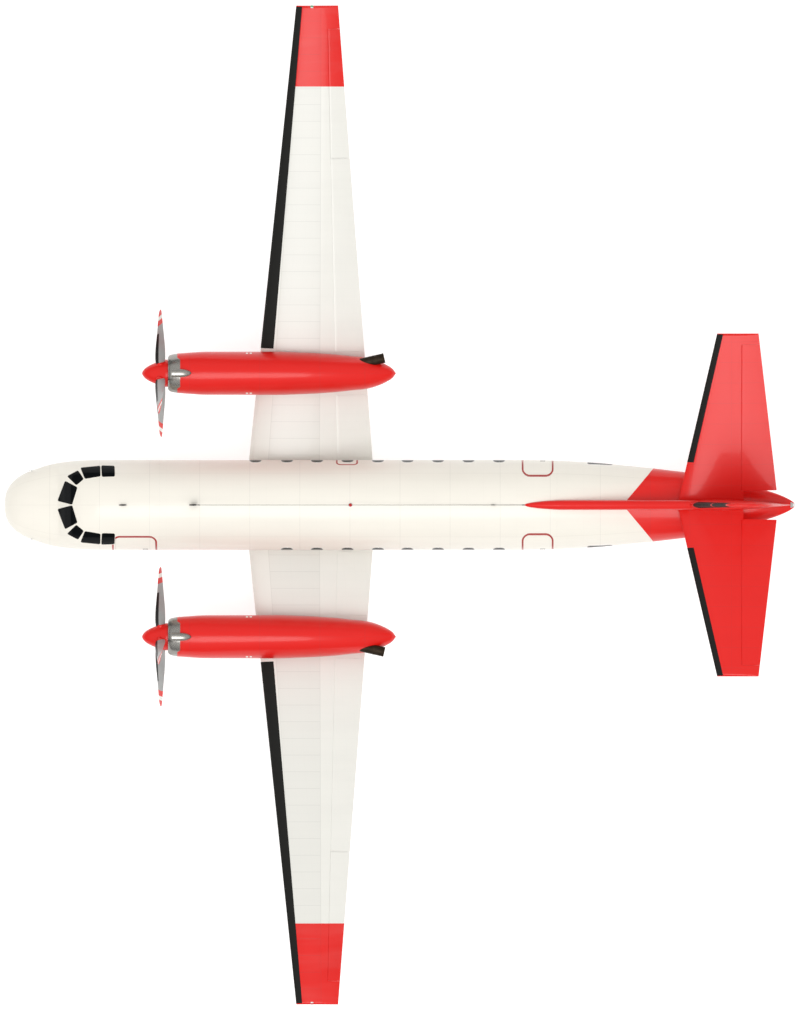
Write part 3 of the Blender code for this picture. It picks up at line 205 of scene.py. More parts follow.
def carve(target, *cutters, keep=False):
    """Cuts the cutters out of a piece, or keeps only what lies inside them."""
    for cutter in cutters:
        modifier = target.modifiers.new("carve", "BOOLEAN")
        modifier.operation = "INTERSECT" if keep else "DIFFERENCE"
        modifier.solver = "EXACT"
        modifier.object = cutter
        bpy.context.view_layer.update()
        graph = bpy.context.evaluated_depsgraph_get()
        carved = bpy.data.meshes.new_from_object(target.evaluated_get(graph))
        target.modifiers.clear()
        target.data = carved
        bpy.data.objects.remove(cutter)


def fit(made, body, slot, *nodes, angle=32):
    """Shades a piece smooth up to an angle between faces, and puts it on its body in place of its nodes."""
    made.data.shade_smooth()
    made.data.set_sharp_from_angle(angle=math.radians(angle))
    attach(made, body)
    if nodes:
        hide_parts(*nodes)


def rectangle(low, high):
    return np.array(((low[0], low[1]), (high[0], low[1]), (high[0], high[1]), (low[0], high[1])), float)


def rounded(corners, radius, spacing):
    """A closed outline of straight edges with its corners cut back by the radius and bridged by a curve of
    the second degree, as points about the spacing apart."""
    corner = np.array(corners, float)
    toward = [np.roll(corner, shift, 0) - corner for shift in (1, -1)]
    a, b = [corner + radius * d / np.linalg.norm(d, axis=1)[:, None] for d in toward]
    t = np.linspace(0, 1, 9)[None, :, None]
    line = ((1 - t) ** 2 * a[:, None] + 2 * t * (1 - t) * corner[:, None] + t**2 * b[:, None]).reshape(-1, 2)
    line = np.vstack((line, line[:1]))
    run = np.concatenate(([0], np.cumsum(np.linalg.norm(np.diff(line, axis=0), axis=1))))
    at = np.linspace(0, run[-1], max(int(run[-1] / spacing), 12) + 1)[:-1]
    return np.stack([np.interp(at, run, line[:, k]) for k in (0, 1)], -1)


def door_outline(door, grow):
    """A door's rounded rectangle of x and z."""
    first, last, sill, top, radius, _ = door
    return rounded(rectangle((first - grow, sill - grow), (last + grow, top + grow)), radius + grow, 0.04)


def cutter(outline, ends, axis, materials=()):
    """A closed outline run straight between two distances along an axis: 1 is y and 2 is z. What it cuts
    gets the second of the materials."""
    loop = np.vstack((outline, outline[:1]))
    points = capped(np.array([np.insert(loop, axis, end, axis=1) for end in ends]))
    return piece("cutter", [(points, np.zeros((*points.shape[:2], 2)), 1)], materials or [cream_skin, lining])


def door_cutter(door, grow):
    """A door's outline, run sideways through the wall on its own side."""
    return cutter(door_outline(door, grow), sorted(door[5] * reach for reach in DOOR_REACH), 1)


def point_places(made):
    places = np.zeros(len(made.data.vertices) * 3)
    made.data.vertices.foreach_get("co", places)
    return places.reshape(-1, 3)


def door_lines():
    """The doors as their red lines frame them: the front one's line stands a little outside it."""
    first, last, *others = FRONT_DOOR
    return ((first - 0.075, last + 0.03, *others), *REAR_DOORS.values(), WING_EXIT)


def mark_paint(made):
    """Stores at every point its distance outside the nearest door line, a rounded rectangle, and how far it
    lies behind the red tail's edge, which leans back outboard and down the sides."""
    x, y, z = point_places(made).T
    nearest = np.full(len(x), 9.0)
    for first, last, sill, top, radius, side in door_lines():
        beside = abs(x - (first + last) / 2) - (last - first) / 2
        beyond = abs(z - (sill + top) / 2) - (top - sill) / 2
        over = np.stack((beside, beyond)) + radius
        away = np.hypot(*np.maximum(over, 0)) + np.minimum(over.max(0), 0) - radius
        nearest = np.where((abs(away) < abs(nearest)) & (y * side > 0), away, nearest)
    half, _, _, widest, _ = fuselage_sizes(x)
    first, outboard, down = TAIL_RED
    lateral = np.where(z > widest, abs(y), half)
    behind = x - first - outboard * lateral - down * np.maximum(widest - z, 0)
    for name, values in (("door_edge", nearest), ("tail_edge", behind)):
        made.data.attributes.new(name, "FLOAT", "POINT").data.foreach_set("value", values)


class Finish:
    """A material's nodes, added one call at a time. A number or another node's output may stand at any
    input."""

    def __init__(self, name, roughness, metallic=0.0, coat=0.0, specular=0.5):
        self.material = bpy.data.materials.new(name)
        self.material.use_nodes = True
        self.tree = self.material.node_tree
        self.shader = self.tree.nodes["Principled BSDF"]
        constants = {
            "Roughness": roughness, "Metallic": metallic, "Specular IOR Level": specular,
            "Coat Weight": coat, "Coat Roughness": 0.08,
        }
        for name, value in constants.items():
            self.shader.inputs[name].default_value = value
        self.place = self.put("TexCoord", out="Object")

    def put(self, kind, inputs=(), out=0, **settings):
        node = self.tree.nodes.new("ShaderNode" + kind)
        for name, value in settings.items():
            setattr(node, name, value)
        for key, value in inputs.items() if isinstance(inputs, dict) else enumerate(inputs):
            if isinstance(value, bpy.types.NodeSocket):
                self.tree.links.new(value, node.inputs[key])
            else:
                node.inputs[key].default_value = value
        return node.outputs[out]

    def calc(self, operation, *values):
        return self.put("Math", values, operation=operation)

    def along(self, source, axis):
        return self.put("SeparateXYZ", (source,), out=axis)

    def over(self, value, edge, soft=0.004):
        """0 below the edge and 1 above it, with a short ramp."""
        return self.put("MapRange", (value, edge - soft, edge + soft, 0.0, 1.0))

    def line(self, distance, width, soft=0.004):
        """1 within half a width of where the distance is 0."""
        return self.calc("SUBTRACT", 1.0, self.over(self.calc("ABSOLUTE", distance), width / 2, soft))

    def repeats(self, value, spacing, width, soft=0.004):
        """1 on lines that repeat at the spacing."""
        return self.line(self.calc("PINGPONG", value, spacing / 2), width, soft)

    def dots(self, away, along, pitch, radius):
        """1 on round heads in a row: away is the distance from the row, and along runs down it."""
        beside = self.calc("PINGPONG", along, pitch / 2)
        square = self.calc("ADD", self.calc("POWER", away, 2.0), self.calc("POWER", beside, 2.0))
        return self.calc("SUBTRACT", 1.0, self.over(self.calc("SQRT", square), radius, radius / 2))

    def noise(self, scale, detail=3.0, stretch=None):
        source = self.put("Mapping", {"Vector": self.place, "Scale": stretch}) if stretch else self.place
        return self.put("TexNoise", {"Vector": source, "Scale": scale, "Detail": detail})

    def mix(self, share, first, second):
        first, second = [v if isinstance(v, bpy.types.NodeSocket) else (*v, 1.0) for v in (first, second)]
        return self.put("Mix", {0: share, 6: first, 7: second}, out=2, data_type="RGBA")

    def most(self, *masks):
        joined = masks[0]
        for mask in masks[1:]:
            joined = self.calc("MAXIMUM", joined, mask)
        return joined

    def colour(self, value):
        self.tree.links.new(value, self.shader.inputs["Base Color"])

    def rough(self, low, high, source):
        value = self.put("MapRange", (source, 0.25, 0.75, low, high), interpolation_type="SMOOTHSTEP")
        self.tree.links.new(value, self.shader.inputs["Roughness"])

    def bump(self, height, distance, strength=1.0):
        normal = self.put("Bump", {"Strength": strength, "Distance": distance, "Height": height})
        self.tree.links.new(normal, self.shader.inputs["Normal"])


def shade(colour, share):
    return tuple(channel * share for channel in colour)


def sheet_paint(name, colour, seams=None, marks=None, mark_colour=RED, painted_shade_area=None, trim=None):
    """Gloss paint over thin sheet metal: broad changes of tone, long faint streaks, sheets that buckle a
    little between rivets, and seams that are dark and sunk. Marks and trim are areas in other colours, and
    one more area may be painted a little darker as painted shade."""
    f = Finish(name, 0.3, coat=0.15, specular=0.25)
    broad = f.noise(0.9)
    streaks = f.noise(1.2, 2.0, stretch=(0.25, 2.0, 2.0))
    tone = f.mix(broad, shade(colour, 0.97), shade(colour, 1.02))
    # An area painted 6% darker, as painted shade.
    if painted_shade_area:
        tone = f.mix(painted_shade_area(f), tone, shade(colour, 0.94))
    if marks:
        tone = f.mix(marks(f), tone, f.mix(broad, shade(mark_colour, 0.9), shade(mark_colour, 1.05)))
    if trim:
        tone = f.mix(trim(f), tone, shade(RED, 0.55))
    tone = f.mix(f.calc("MULTIPLY", f.over(streaks, 0.62, 0.16), 0.05), tone, shade(colour, 0.60))
    height = f.calc("MULTIPLY", f.noise(1.6, 1.0), 0.6)
    if seams:
        joints, rivets = seams(f)
        dark = f.most(f.calc("MULTIPLY", joints, 0.16), f.calc("MULTIPLY", rivets, 0.10))
        tone = f.mix(dark, tone, (0.05, 0.05, 0.05))
        height = f.calc("SUBTRACT", height, f.calc("MULTIPLY", joints, 0.5))
    f.colour(tone)
    f.rough(0.285, 0.325, broad)
    f.bump(height, 0.004, 0.5)
    return f.material


def riveted(f, along, across, frames, stringers):
    """Rows of flush rivets along every frame and every stringer."""
    return f.most(
        f.dots(f.calc("PINGPONG", along, frames / 2), across, RIVET_PITCH, RIVET_RADIUS),
        f.dots(f.calc("PINGPONG", across, stringers / 2), along, RIVET_PITCH, RIVET_RADIUS),
    )


def fuselage_seams(f):
    """Butt joints round the body at every third frame, lap joints along it, and the rivets between them."""
    uv = f.put("UVMap", uv_map="metres")
    along, across = f.along(uv, 0), f.along(uv, 1)
    joints = f.most(f.repeats(along, 1.50, 0.010), f.repeats(across, 1.0603, 0.008))
    return joints, riveted(f, along, across, 0.50, 0.2651)


def tail_red(f):
    return f.over(f.put("Attribute", out="Fac", attribute_name="tail_edge"), 0.0)


def door_red(f):
    return f.line(f.put("Attribute", out="Fac", attribute_name="door_edge"), 0.052)


def lining_finish():
    """Pale grey quilted lining and painted frames."""
    f = Finish("lining", 0.7)
    x, z = f.along(f.place, 0), f.along(f.place, 2)
    quilt = f.most(f.repeats(x, 0.5, 0.03, 0.02), f.repeats(z, 0.5, 0.02, 0.02))
    f.colour(f.mix(f.noise(6.0), shade(LINING_GREY, 0.85), shade(LINING_GREY, 1.1)))
    f.bump(f.calc("SUBTRACT", f.noise(9.0), quilt), 0.01, 0.6)
    return f.material


cream_skin = sheet_paint("cream_skin", CREAM, fuselage_seams, tail_red, trim=door_red)
lining = lining_finish()


def steps(first, last, size):
    return np.linspace(first, last, max(int(round((last - first) / size)), 1) + 1)


blunt = NOSE_X + np.linspace(0, 1.1, 31) ** 2
nose_x = np.concatenate((blunt, steps(-10.60, -9.30, 0.05), steps(-9.22, NOSE_JOINT_X, 0.08)))
outside = fuselage_skin(nose_x)
inside = fuselage_skin(steps(BULKHEAD_X, NOSE_JOINT_X, 0.2)[::-1], SKIN, 1)
bulkhead = pole((BULKHEAD_X, 0, 2.7), inside, 1)
nose = piece("nose_skin", [joined_rows(outside, inside, bulkhead)], [cream_skin, lining])
(bay_first, bay_last), bay_half, bay_z = NOSE_BAY
bay = cutter(rectangle((bay_first, -bay_half), (bay_last, bay_half)), bay_z, 2)
carve(nose, door_cutter(FRONT_DOOR, DOOR_GAP), bay)
mark_paint(nose)
fit(nose, "airframe", "white_paint", "nose_section")


def shell(name, first, last, thick, outside_step, inside_step):
    """A section of the fuselage as a closed wall: the outside, then the inside back to the front."""
    outside = fuselage_skin(steps(first, last, outside_step))
    inside = fuselage_skin(steps(first, last, inside_step)[::-1], thick, 1)
    front = (outside[0][:1], outside[1][:1], 1)
    return piece(name, [joined_rows(outside, inside, front)], [cream_skin, lining])


cabin = shell("cabin_skin", NOSE_JOINT_X + JOINT_GAP, REAR_JOINT_X, SKIN, 0.08, 0.3)
carve(cabin, *[door_cutter(door, DOOR_GAP) for door in REAR_DOORS.values()])
mark_paint(cabin)
fit(cabin, "airframe", "white_paint", "cabin_section")

rear = shell("rear_skin", REAR_JOINT_X + JOINT_GAP, CONE_JOINT_X, REAR_SKIN, 0.06, 0.12)
(opening_first, opening_last), opening_half, opening_z = REAR_OPENING
beside = opening_half + RAMP_GAP
carve(rear, cutter(rectangle((opening_first, -beside), (opening_last, beside)), opening_z, 2))
mark_paint(rear)
fit(rear, "airframe", "white_paint", "rear_section")

tail_end = TAIL_X - np.linspace(0.5, 0, 12)[1:] ** 2
outside = fuselage_skin(np.concatenate((steps(CONE_JOINT_X + JOINT_GAP, 11.6, 0.06), tail_end)))
inside = fuselage_skin(steps(CONE_JOINT_X + JOINT_GAP, CONE_HOLLOW_END, 0.2)[::-1], REAR_SKIN, 1)
hollow_end = pole((CONE_HOLLOW_END, 0, 3.6), inside, 1)
cone = piece("tail_cone_skin", [joined_rows(hollow_end, inside, outside)], [cream_skin, lining])
mark_paint(cone)
fit(cone, "airframe", "red_paint", "tail_cone")

# Side doors
# Plug doors of the same sheet and frames as the skin, as thick as the wall, each with a flush handle in a
# dish whose inner wall and floor are painted near-black as painted shade. The front one is on the left, and
# there is one on each side ahead of the ramp.
DOOR_INSET = 0.001  # a panel is this much smaller than its drawn outline
# Length, half height of its dish, and distances from the door's rear edge and over its sill
HANDLE = (0.16, 0.055, 0.22, 0.95)


def skin_level(place):
    """1 on the skin and less inside it: the sum of the section's two shares, each to its power."""
    x, y, z = np.moveaxis(place, -1, 0)
    half, top, bottom, widest, power = fuselage_sizes(x)
    bend = np.where(z < widest, power, 2)
    reach = np.where(z < widest, widest - bottom, top - widest)
    return (abs(y) / half) ** bend + (abs(z - widest) / reach) ** bend


def on_skin(x, across, view, height=0.0):
    """Points on the fuselage, lifted off it by a height. Seen from above or below, across is y. Seen from
    the right or left it is z. The way outwards is the slope of each section's own formula."""
    half, top, bottom, widest, power = fuselage_sizes(x)
    if view in ("above", "below"):
        y = across
        bend = 2.0 if view == "above" else power
        reach = top - widest if view == "above" else bottom - widest
        z = widest + reach * (1 - np.minimum(abs(y) / half, 1) ** bend) ** (1 / bend)
    else:
        z = across
        bend = np.where(z < widest, power, 2)
        reach = np.where(z < widest, widest - bottom, top - widest)
        y = half * (1 - np.minimum(abs(z - widest) / reach, 1) ** bend) ** (1 / bend)
        y = y if view == "right" else -y
    place = np.stack((x, y, z), -1)
    small = 1e-3
    slope = [skin_level(place + d) - skin_level(place - d) for d in np.eye(3) * small]
    outward = np.stack(slope, -1)
    return place + outward / np.linalg.norm(outward, axis=-1, keepdims=True) * np.asarray(height)[..., None]


def drawn_in(loop, inset):
    """An outline moved inwards by a distance, along the mean of its neighbours' normals."""
    run = np.roll(loop, -1, 0) - np.roll(loop, 1, 0)
    normal = np.stack((-run[:, 1], run[:, 0]), -1) / np.linalg.norm(run, axis=1)[:, None]
    area = np.sum(loop[:, 0] * np.roll(loop[:, 1], -1) - loop[:, 1] * np.roll(loop[:, 0], -1))
    return loop + normal * inset * np.sign(area)


def mapped(points, kind=0):
    """A grid with a map in metres: the mean distance run along its rows and its columns."""
    along = np.linalg.norm(np.diff(points, axis=0), axis=2).mean(1)
    across = np.linalg.norm(np.diff(points, axis=1), axis=2).mean(0)
    u, v = [np.concatenate(([0], np.cumsum(step))) for step in (along, across)]
    return points, np.stack(np.meshgrid(u, v, indexing="ij"), -1), kind


def inlay(outline, profile, view, kinds=(0,), fill=6):
    """A closed plate laid on the skin. Each row of its profile is an inset from the outline and a height.
    The last row is filled towards the middle in equal shares, and the underside closes below the skin. The
    kinds are the materials of the underside, of each step of the profile and of the middle."""
    middle = outline.mean(0)
    rings = [drawn_in(outline, inset) for inset, _ in profile]
    heights = [height for _, height in profile]
    inner, height = rings[-1], heights[-1]
    for share in np.linspace(1, 0, fill + 1)[1:]:
        rings.append(middle + (inner - middle) * share)
        heights.append(height)
    flat = np.array([np.vstack((ring, ring[:1])) for ring in rings])
    lift = np.array(heights)[:, None] * np.ones(flat.shape[:2])
    points = on_skin(flat[..., 0], flat[..., 1], view, lift)
    under = on_skin(*[np.broadcast_to(middle[k], (1, flat.shape[1])) for k in (0, 1)], view, -0.05)
    points = np.concatenate((under, points))
    strips = np.array(kinds if len(kinds) > 1 else kinds * (len(profile) + 1))
    return mapped(points, np.append(strips, np.repeat(strips[-1:], fill - 1))[:, None])


def side_door(name, door, node):
    panel = shell(name, door[0] - 0.12, door[1] + 0.12, SKIN, 0.06, 0.06)
    carve(panel, door_cutter(door, -DOOR_INSET), keep=True)
    mark_paint(panel)
    fit(panel, "airframe", "white_paint", node)


def bare_metal(name, colour, roughness, grain=(1.0, 1.0, 1.0)):
    """Bare or satin metal: fine brushed grain, small stains, and roughness that changes from place to
    place."""
    f = Finish(name, roughness, 1.0)
    brushed = f.noise(60.0, 2.0, stretch=grain)
    f.colour(f.mix(f.noise(5.0, 4.0), shade(colour, 0.78), shade(colour, 1.1)))
    f.rough(max(roughness - 0.08, 0.05), roughness + 0.12, brushed)
    f.bump(brushed, 0.0006, 0.4)
    return f.material


def plain_finish(name, colour, roughness, spread=0.12, scale=20.0, depth=0.0008, specular=0.5):
    """Moulded or painted small parts: a slight change of tone, and a fine grain."""
    f = Finish(name, roughness, specular=specular)
    grain = f.noise(scale, 4.0)
    f.colour(f.mix(grain, shade(colour, 1 - spread), shade(colour, 1 + spread)))
    f.rough(roughness - 0.05, roughness + 0.1, grain)
    f.bump(grain, depth, 0.5)
    return f.material


satin_metal = bare_metal("satin_metal", (0.56, 0.56, 0.55), 0.32)
# Near-black for the inside of recesses such as the handle dishes: painted shade.
recess_painted_shade = plain_finish("recess_painted_shade", (0.008, 0.008, 0.008), 0.7, specular=0.15)

side_door("front_door_panel", FRONT_DOOR, "front_door")
for side, door in REAR_DOORS.items():
    side_door("rear_door_panel_" + side, door, "rear_door_" + side)

length, tall, from_edge, up = HANDLE
handles = []
for first, last, sill, _, _, side in (FRONT_DOOR, *REAR_DOORS.values()):
    x, z = last - from_edge, sill + up
    dish = rounded(rectangle((x - length, z - tall), (x, z + tall)), 0.03, 0.02)
    grip = rounded(rectangle((x - length + 0.025, z - tall / 4), (x - 0.025, z + tall / 4)), 0.012, 0.01)
    view = "right" if side > 0 else "left"
    dish_steps = ((0, -0.01), (0, 0.003), (0.010, 0.004), (0.014, 0.001))
    # The dish's inner wall and floor take the near-black finish, as painted shade.
    handles.append(inlay(dish, dish_steps, view, (0, 0, 0, 1, 1), 3))
    handles.append(inlay(grip, ((0, -0.01), (0, 0.007), (0.004, 0.010)), view, (0,), 3))
fit(piece("door_handles", handles, [satin_metal, recess_painted_shade]), "airframe", "gear_metal")

# Flight deck panes
# Eight panes of thick glass round the flight deck, four on each side, bedded in dark sealant inside
# narrow painted frames. The glass is opaque and painted near-black: painted shade for the dim flight deck
# behind it. Their edges are rounded, and the two front ones are the tallest.
PANES = (  # corners of x and y, from the front inner one round by the outer ones, for each pane on the right
    ((-10.26, 0.125), (-10.03, 0.72), (-9.662, 0.525), (-9.819, 0.012)),
    ((-9.970, 0.86), (-9.648, 1.031), (-9.475, 0.775), (-9.692, 0.592)),
    ((-9.572, 1.112), (-8.985, 1.169), (-8.975, 0.857), (-9.437, 0.783)),
    ((-8.949, 1.178), (-8.556, 1.166), (-8.544, 0.851), (-8.928, 0.842)),
)
# Inset from the pane's outline and height over the skin, for each step of its frame
PANE_FRAME = ((-0.020, -0.010), (-0.016, 0.006), (-0.005, 0.007), (-0.002, 0.003), (0.008, 0.004))


def tinted_glass():
    """Opaque glass painted near-black as painted shade of the dim room behind it. It is smooth, with faint
    waves and a film of dust.
    """
    f = Finish("tinted_glass", 0.06, specular=0.06)
    dust = f.noise(7.0, 5.0)
    f.colour(f.mix(dust, (0.0015, 0.0020, 0.0025), (0.004, 0.005, 0.006)))
    f.rough(0.04, 0.12, dust)
    f.bump(f.noise(3.0, 1.0), 0.002, 0.3)
    return f.material


# Opaque glass painted near-black, as painted shade for the dim rooms behind the windows.
glass = tinted_glass()
sealant = plain_finish("black_sealant", (0.006, 0.006, 0.006), 0.5, specular=0.15)
cream_trim = sheet_paint("cream_trim", CREAM)
panes = []
for side in (1, -1):
    for corners in PANES:
        outline = rounded(np.array(corners) * (1, side), 0.04, 0.03)
        panes.append(inlay(outline, PANE_FRAME, "above", (0, 0, 0, 2, 2, 1), 8))
made = piece("flight_deck_panes", panes, [cream_trim, glass, sealant])
fit(made, "airframe", "glazing", "flight_deck_glazing")

# Cabin windows
# Oval double panes of clear plastic in a narrow metal rim, one at every second frame, drawn as opaque
# glass painted near-black: painted shade for the dim cabin behind. Each side has a long tinted window of
# the same make over the ramp.
WINDOW_X = (-3.39, -2.49, -1.575, -0.66, 0.225, 1.14, 2.055, 2.97)
EXTRA_WINDOW_X = -4.335  # on the right only
WINDOW_SIZE, WINDOW_Z = (0.34, 0.46), 2.90
REAR_WINDOW = ((5.62, 6.36), (2.93, 3.21))  # x and z ranges
WINDOW_RIM = ((-0.022, -0.008), (-0.018, 0.004), (-0.004, 0.0045), (0.0, 0.001))  # inset and height

circle = np.radians(np.arange(0, 360, 12))
oval = bent(np.stack((np.cos(circle), np.sin(circle)), -1), 0.8) * np.array(WINDOW_SIZE) / 2
windows = []
for view in ("right", "left"):
    for x in WINDOW_X + ((EXTRA_WINDOW_X,) if view == "right" else ()):
        windows.append(inlay(oval + (x, WINDOW_Z), WINDOW_RIM, view, (0, 0, 0, 0, 1), 4))
    (first, last), (low, high) = REAR_WINDOW
    long_pane = rounded(rectangle((first, low), (last, high)), 0.12, 0.04)
    windows.append(inlay(long_pane, WINDOW_RIM, view, (0, 0, 0, 0, 1), 6))
fit(piece("cabin_windows", windows, [satin_metal, glass]), "airframe", "glazing")

# Loading ramp and upper rear door
# The ramp is a deep box of sheet and beams, with ribbed plate and raised cleats on its flat top and a hinge
# barrel under its front edge. The upper door is one panel of the skin, hung on two pins at its rear edge.
RAMP_AXIS = (4.8103, 1.50467)  # x and z
UPPER_AXIS = next(tuple(joint["pos_m"]) for joint in frame["joints"] if joint["name"] == "upper_door_hinge")
UPPER_DOOR = ((5.6, 8.52), 8.44)  # x range of the skin that it is cut from, and x of its rear edge
SPLIT_SLOPE, SPLIT_POINT = 0.57, (7.00, 2.16)
RAMP_FLOOR = (2.01, 0.17)  # height at its front edge, and rise towards the rear
CLEAT_PITCH = 0.22


def split_x(z):
    """Where ramp and upper door meet: a line that leans forward as it rises."""
    return SPLIT_POINT[0] - SPLIT_SLOPE * (z - SPLIT_POINT[1])


def ribbed_floor():
    """Grey floor plate with low ribs across, worn bright along their tops."""
    f = Finish("ribbed_floor", 0.5, 0.6)
    ribs = f.repeats(f.along(f.place, 0), 0.055, 0.02, 0.006)
    worn = f.calc("MULTIPLY", ribs, f.over(f.noise(3.0), 0.5, 0.1))
    f.colour(f.mix(worn, f.mix(f.noise(8.0), (0.20, 0.205, 0.21), (0.27, 0.27, 0.27)), (0.42, 0.42, 0.41)))
    f.bump(ribs, 0.004)
    return f.material


def turned(profile, start, way, sides=24, kind=0):
    """A profile of distances along an axis and radii, turned round it: start + along * axis + radius * (side
    * cos a + up * sin a)."""
    way = np.array(way, float) / np.linalg.norm(way)
    side = np.cross(way, (0, 0, 1) if abs(way[2]) < 0.9 else (0, 1, 0))
    side /= np.linalg.norm(side)
    up = np.cross(way, side)
    along, radius = np.array(profile, float).T[:, :, None, None]
    a = np.radians(np.linspace(0, 360, sides + 1))[:, None]
    points = np.array(start, float) + along * way + radius * (side * np.cos(a) + up * np.sin(a))
    return mapped(points, kind)


def rod(start, end, radius, sides=16, kind=0, ease=0.15):
    """A round bar between two points, with its end edges eased."""
    start, end = np.array(start, float), np.array(end, float)
    length = np.linalg.norm(end - start)
    cut = radius * ease
    profile = (
        (0, 0), (0, radius - cut), (cut, radius), (length - cut, radius), (length, radius - cut), (length, 0),
    )
    return turned(profile, start, end - start, sides, kind)


def slab(low, high, kind=0, ease=0.004, axis=2):
    """A block between two corners, drawn as a rounded rectangle across an axis and drawn in a little at both
    ends."""
    order = [k for k in range(3) if k != axis]
    low, high = np.array(low, float), np.array(high, float)
    least = (high - low)[order].min()
    loop = rounded(rectangle(low[order], high[order]), min(0.02, least * 0.3), 0.05)
    small = drawn_in(loop, ease)
    bottom, top = low[axis], high[axis]
    rings = ((small, bottom), (loop, bottom + ease), (loop, top - ease), (small, top))
    rings = [np.insert(np.vstack((ring, ring[:1])), axis, level, axis=1) for ring, level in rings]
    return mapped(capped(np.array(rings)), kind)


def finish_node(name, material):
    """Gives a node that shows as it was packed a finish of its own."""
    slots = frame["nodes"][name].data.materials
    slots.clear()
    slots.append(material)


floor_plate = ribbed_floor()
first_x = opening_first + RAMP_GAP
front_z, rise = RAMP_FLOOR
level_x = split_x(front_z) - RAMP_GAP
rear_x = (level_x + SPLIT_SLOPE * rise * first_x) / (1 + SPLIT_SLOPE * rise)
hinge_x, hinge_z = RAMP_AXIS
lowest = opening_z[0]
ramp_side = np.array((
    (first_x, front_z), (first_x, hinge_z), (hinge_x, hinge_z - 0.05), (hinge_x, lowest),
    (split_x(lowest) - RAMP_GAP, lowest), (rear_x, front_z + rise * (rear_x - first_x)),
))
body = fuselage_skin(steps(first_x - 0.2, split_x(lowest) + 0.2, 0.08))
ends = [pole((body[0][row, 0, 0], 0, 2.6), body, 1) for row in (0, -1)]
box = piece("ramp_box", [joined_rows(ends[0], body, ends[1])], [cream_skin, floor_plate])
carve(box, cutter(ramp_side, (-opening_half, opening_half), 1, [cream_skin, floor_plate]), keep=True)
mark_paint(box)
fit(box, "ramp", "white_paint", "loading_ramp")
barrel = rod((hinge_x, -0.2, hinge_z), (hinge_x, 0.2, hinge_z), 0.048)
fit(piece("ramp_barrel", [barrel], [satin_metal]), "ramp", "gear_metal")
cleats = []
for x in np.arange(first_x + 0.2, rear_x - 0.1, CLEAT_PITCH):
    z = front_z + rise * (x - first_x)
    cleats.append(slab((x, -0.70, z - 0.004), (x + 0.05, 0.70, z + 0.012)))
fit(piece("ramp_cleats", cleats, [floor_plate]), "ramp", "floor_metal")

upper_band, rear_edge = UPPER_DOOR
upper = shell("upper_door_panel", *upper_band, REAR_SKIN, 0.06, 0.12)
upper_side = np.array((
    (split_x(3.4) + RAMP_GAP, 3.4), (split_x(1.0) + RAMP_GAP, 1.0), (rear_edge, 1.0), (rear_edge, 3.4),
))
carve(upper, cutter(upper_side, (-opening_half, opening_half), 1), keep=True)
mark_paint(upper)
fit(upper, "upper_door", "white_paint", "upper_rear_door")
pin_x, _, pin_z = UPPER_AXIS
pins = [rod((pin_x, side * 0.755, pin_z), (pin_x, side * 0.8077, pin_z), 0.015) for side in (-1, 1)]
fit(piece("upper_door_pins", pins, [satin_metal]), "upper_door", "gear_metal")
finish_node("cabin_floor", floor_plate)

# Wings
# Two-spar light alloy wings of sheet riveted to ribs, sprayed gloss white with red tips. They come out of the
# sides of the body and rise outboard. A black rubber de-icer boot is glued round each outer leading edge.
HALF_SPAN, DIHEDRAL, WING_Z = 14.967, 7, 1.68  # dihedral in degrees, and height of the chords at the middle
EDGE_THICK = 0.012
TIP_RED_Y = 12.54
WING_WHITE = (0.715, 0.707, 0.662)
WING_BOOT = ((4.76, 15.05), (0.385, 0.18))  # from and to along the span, and widths there
BOOT_PROUD, BOOT_SUNK = 0.003, 0.004
# Front and rear spar: x at the aircraft's middle, and lean aft for each metre out
SPARS = ((-4.05, 0.0709), (-2.416, 0.0035))
INBOARD_FLAP, OUTBOARD_FLAP, AILERON = (1.42, 3.33), (4.64, 10.46), (10.49, 14.37)  # ranges along the span
FLAP_GAP, HINGE_GAP, END_GAP = 0.008, 0.012, 0.004


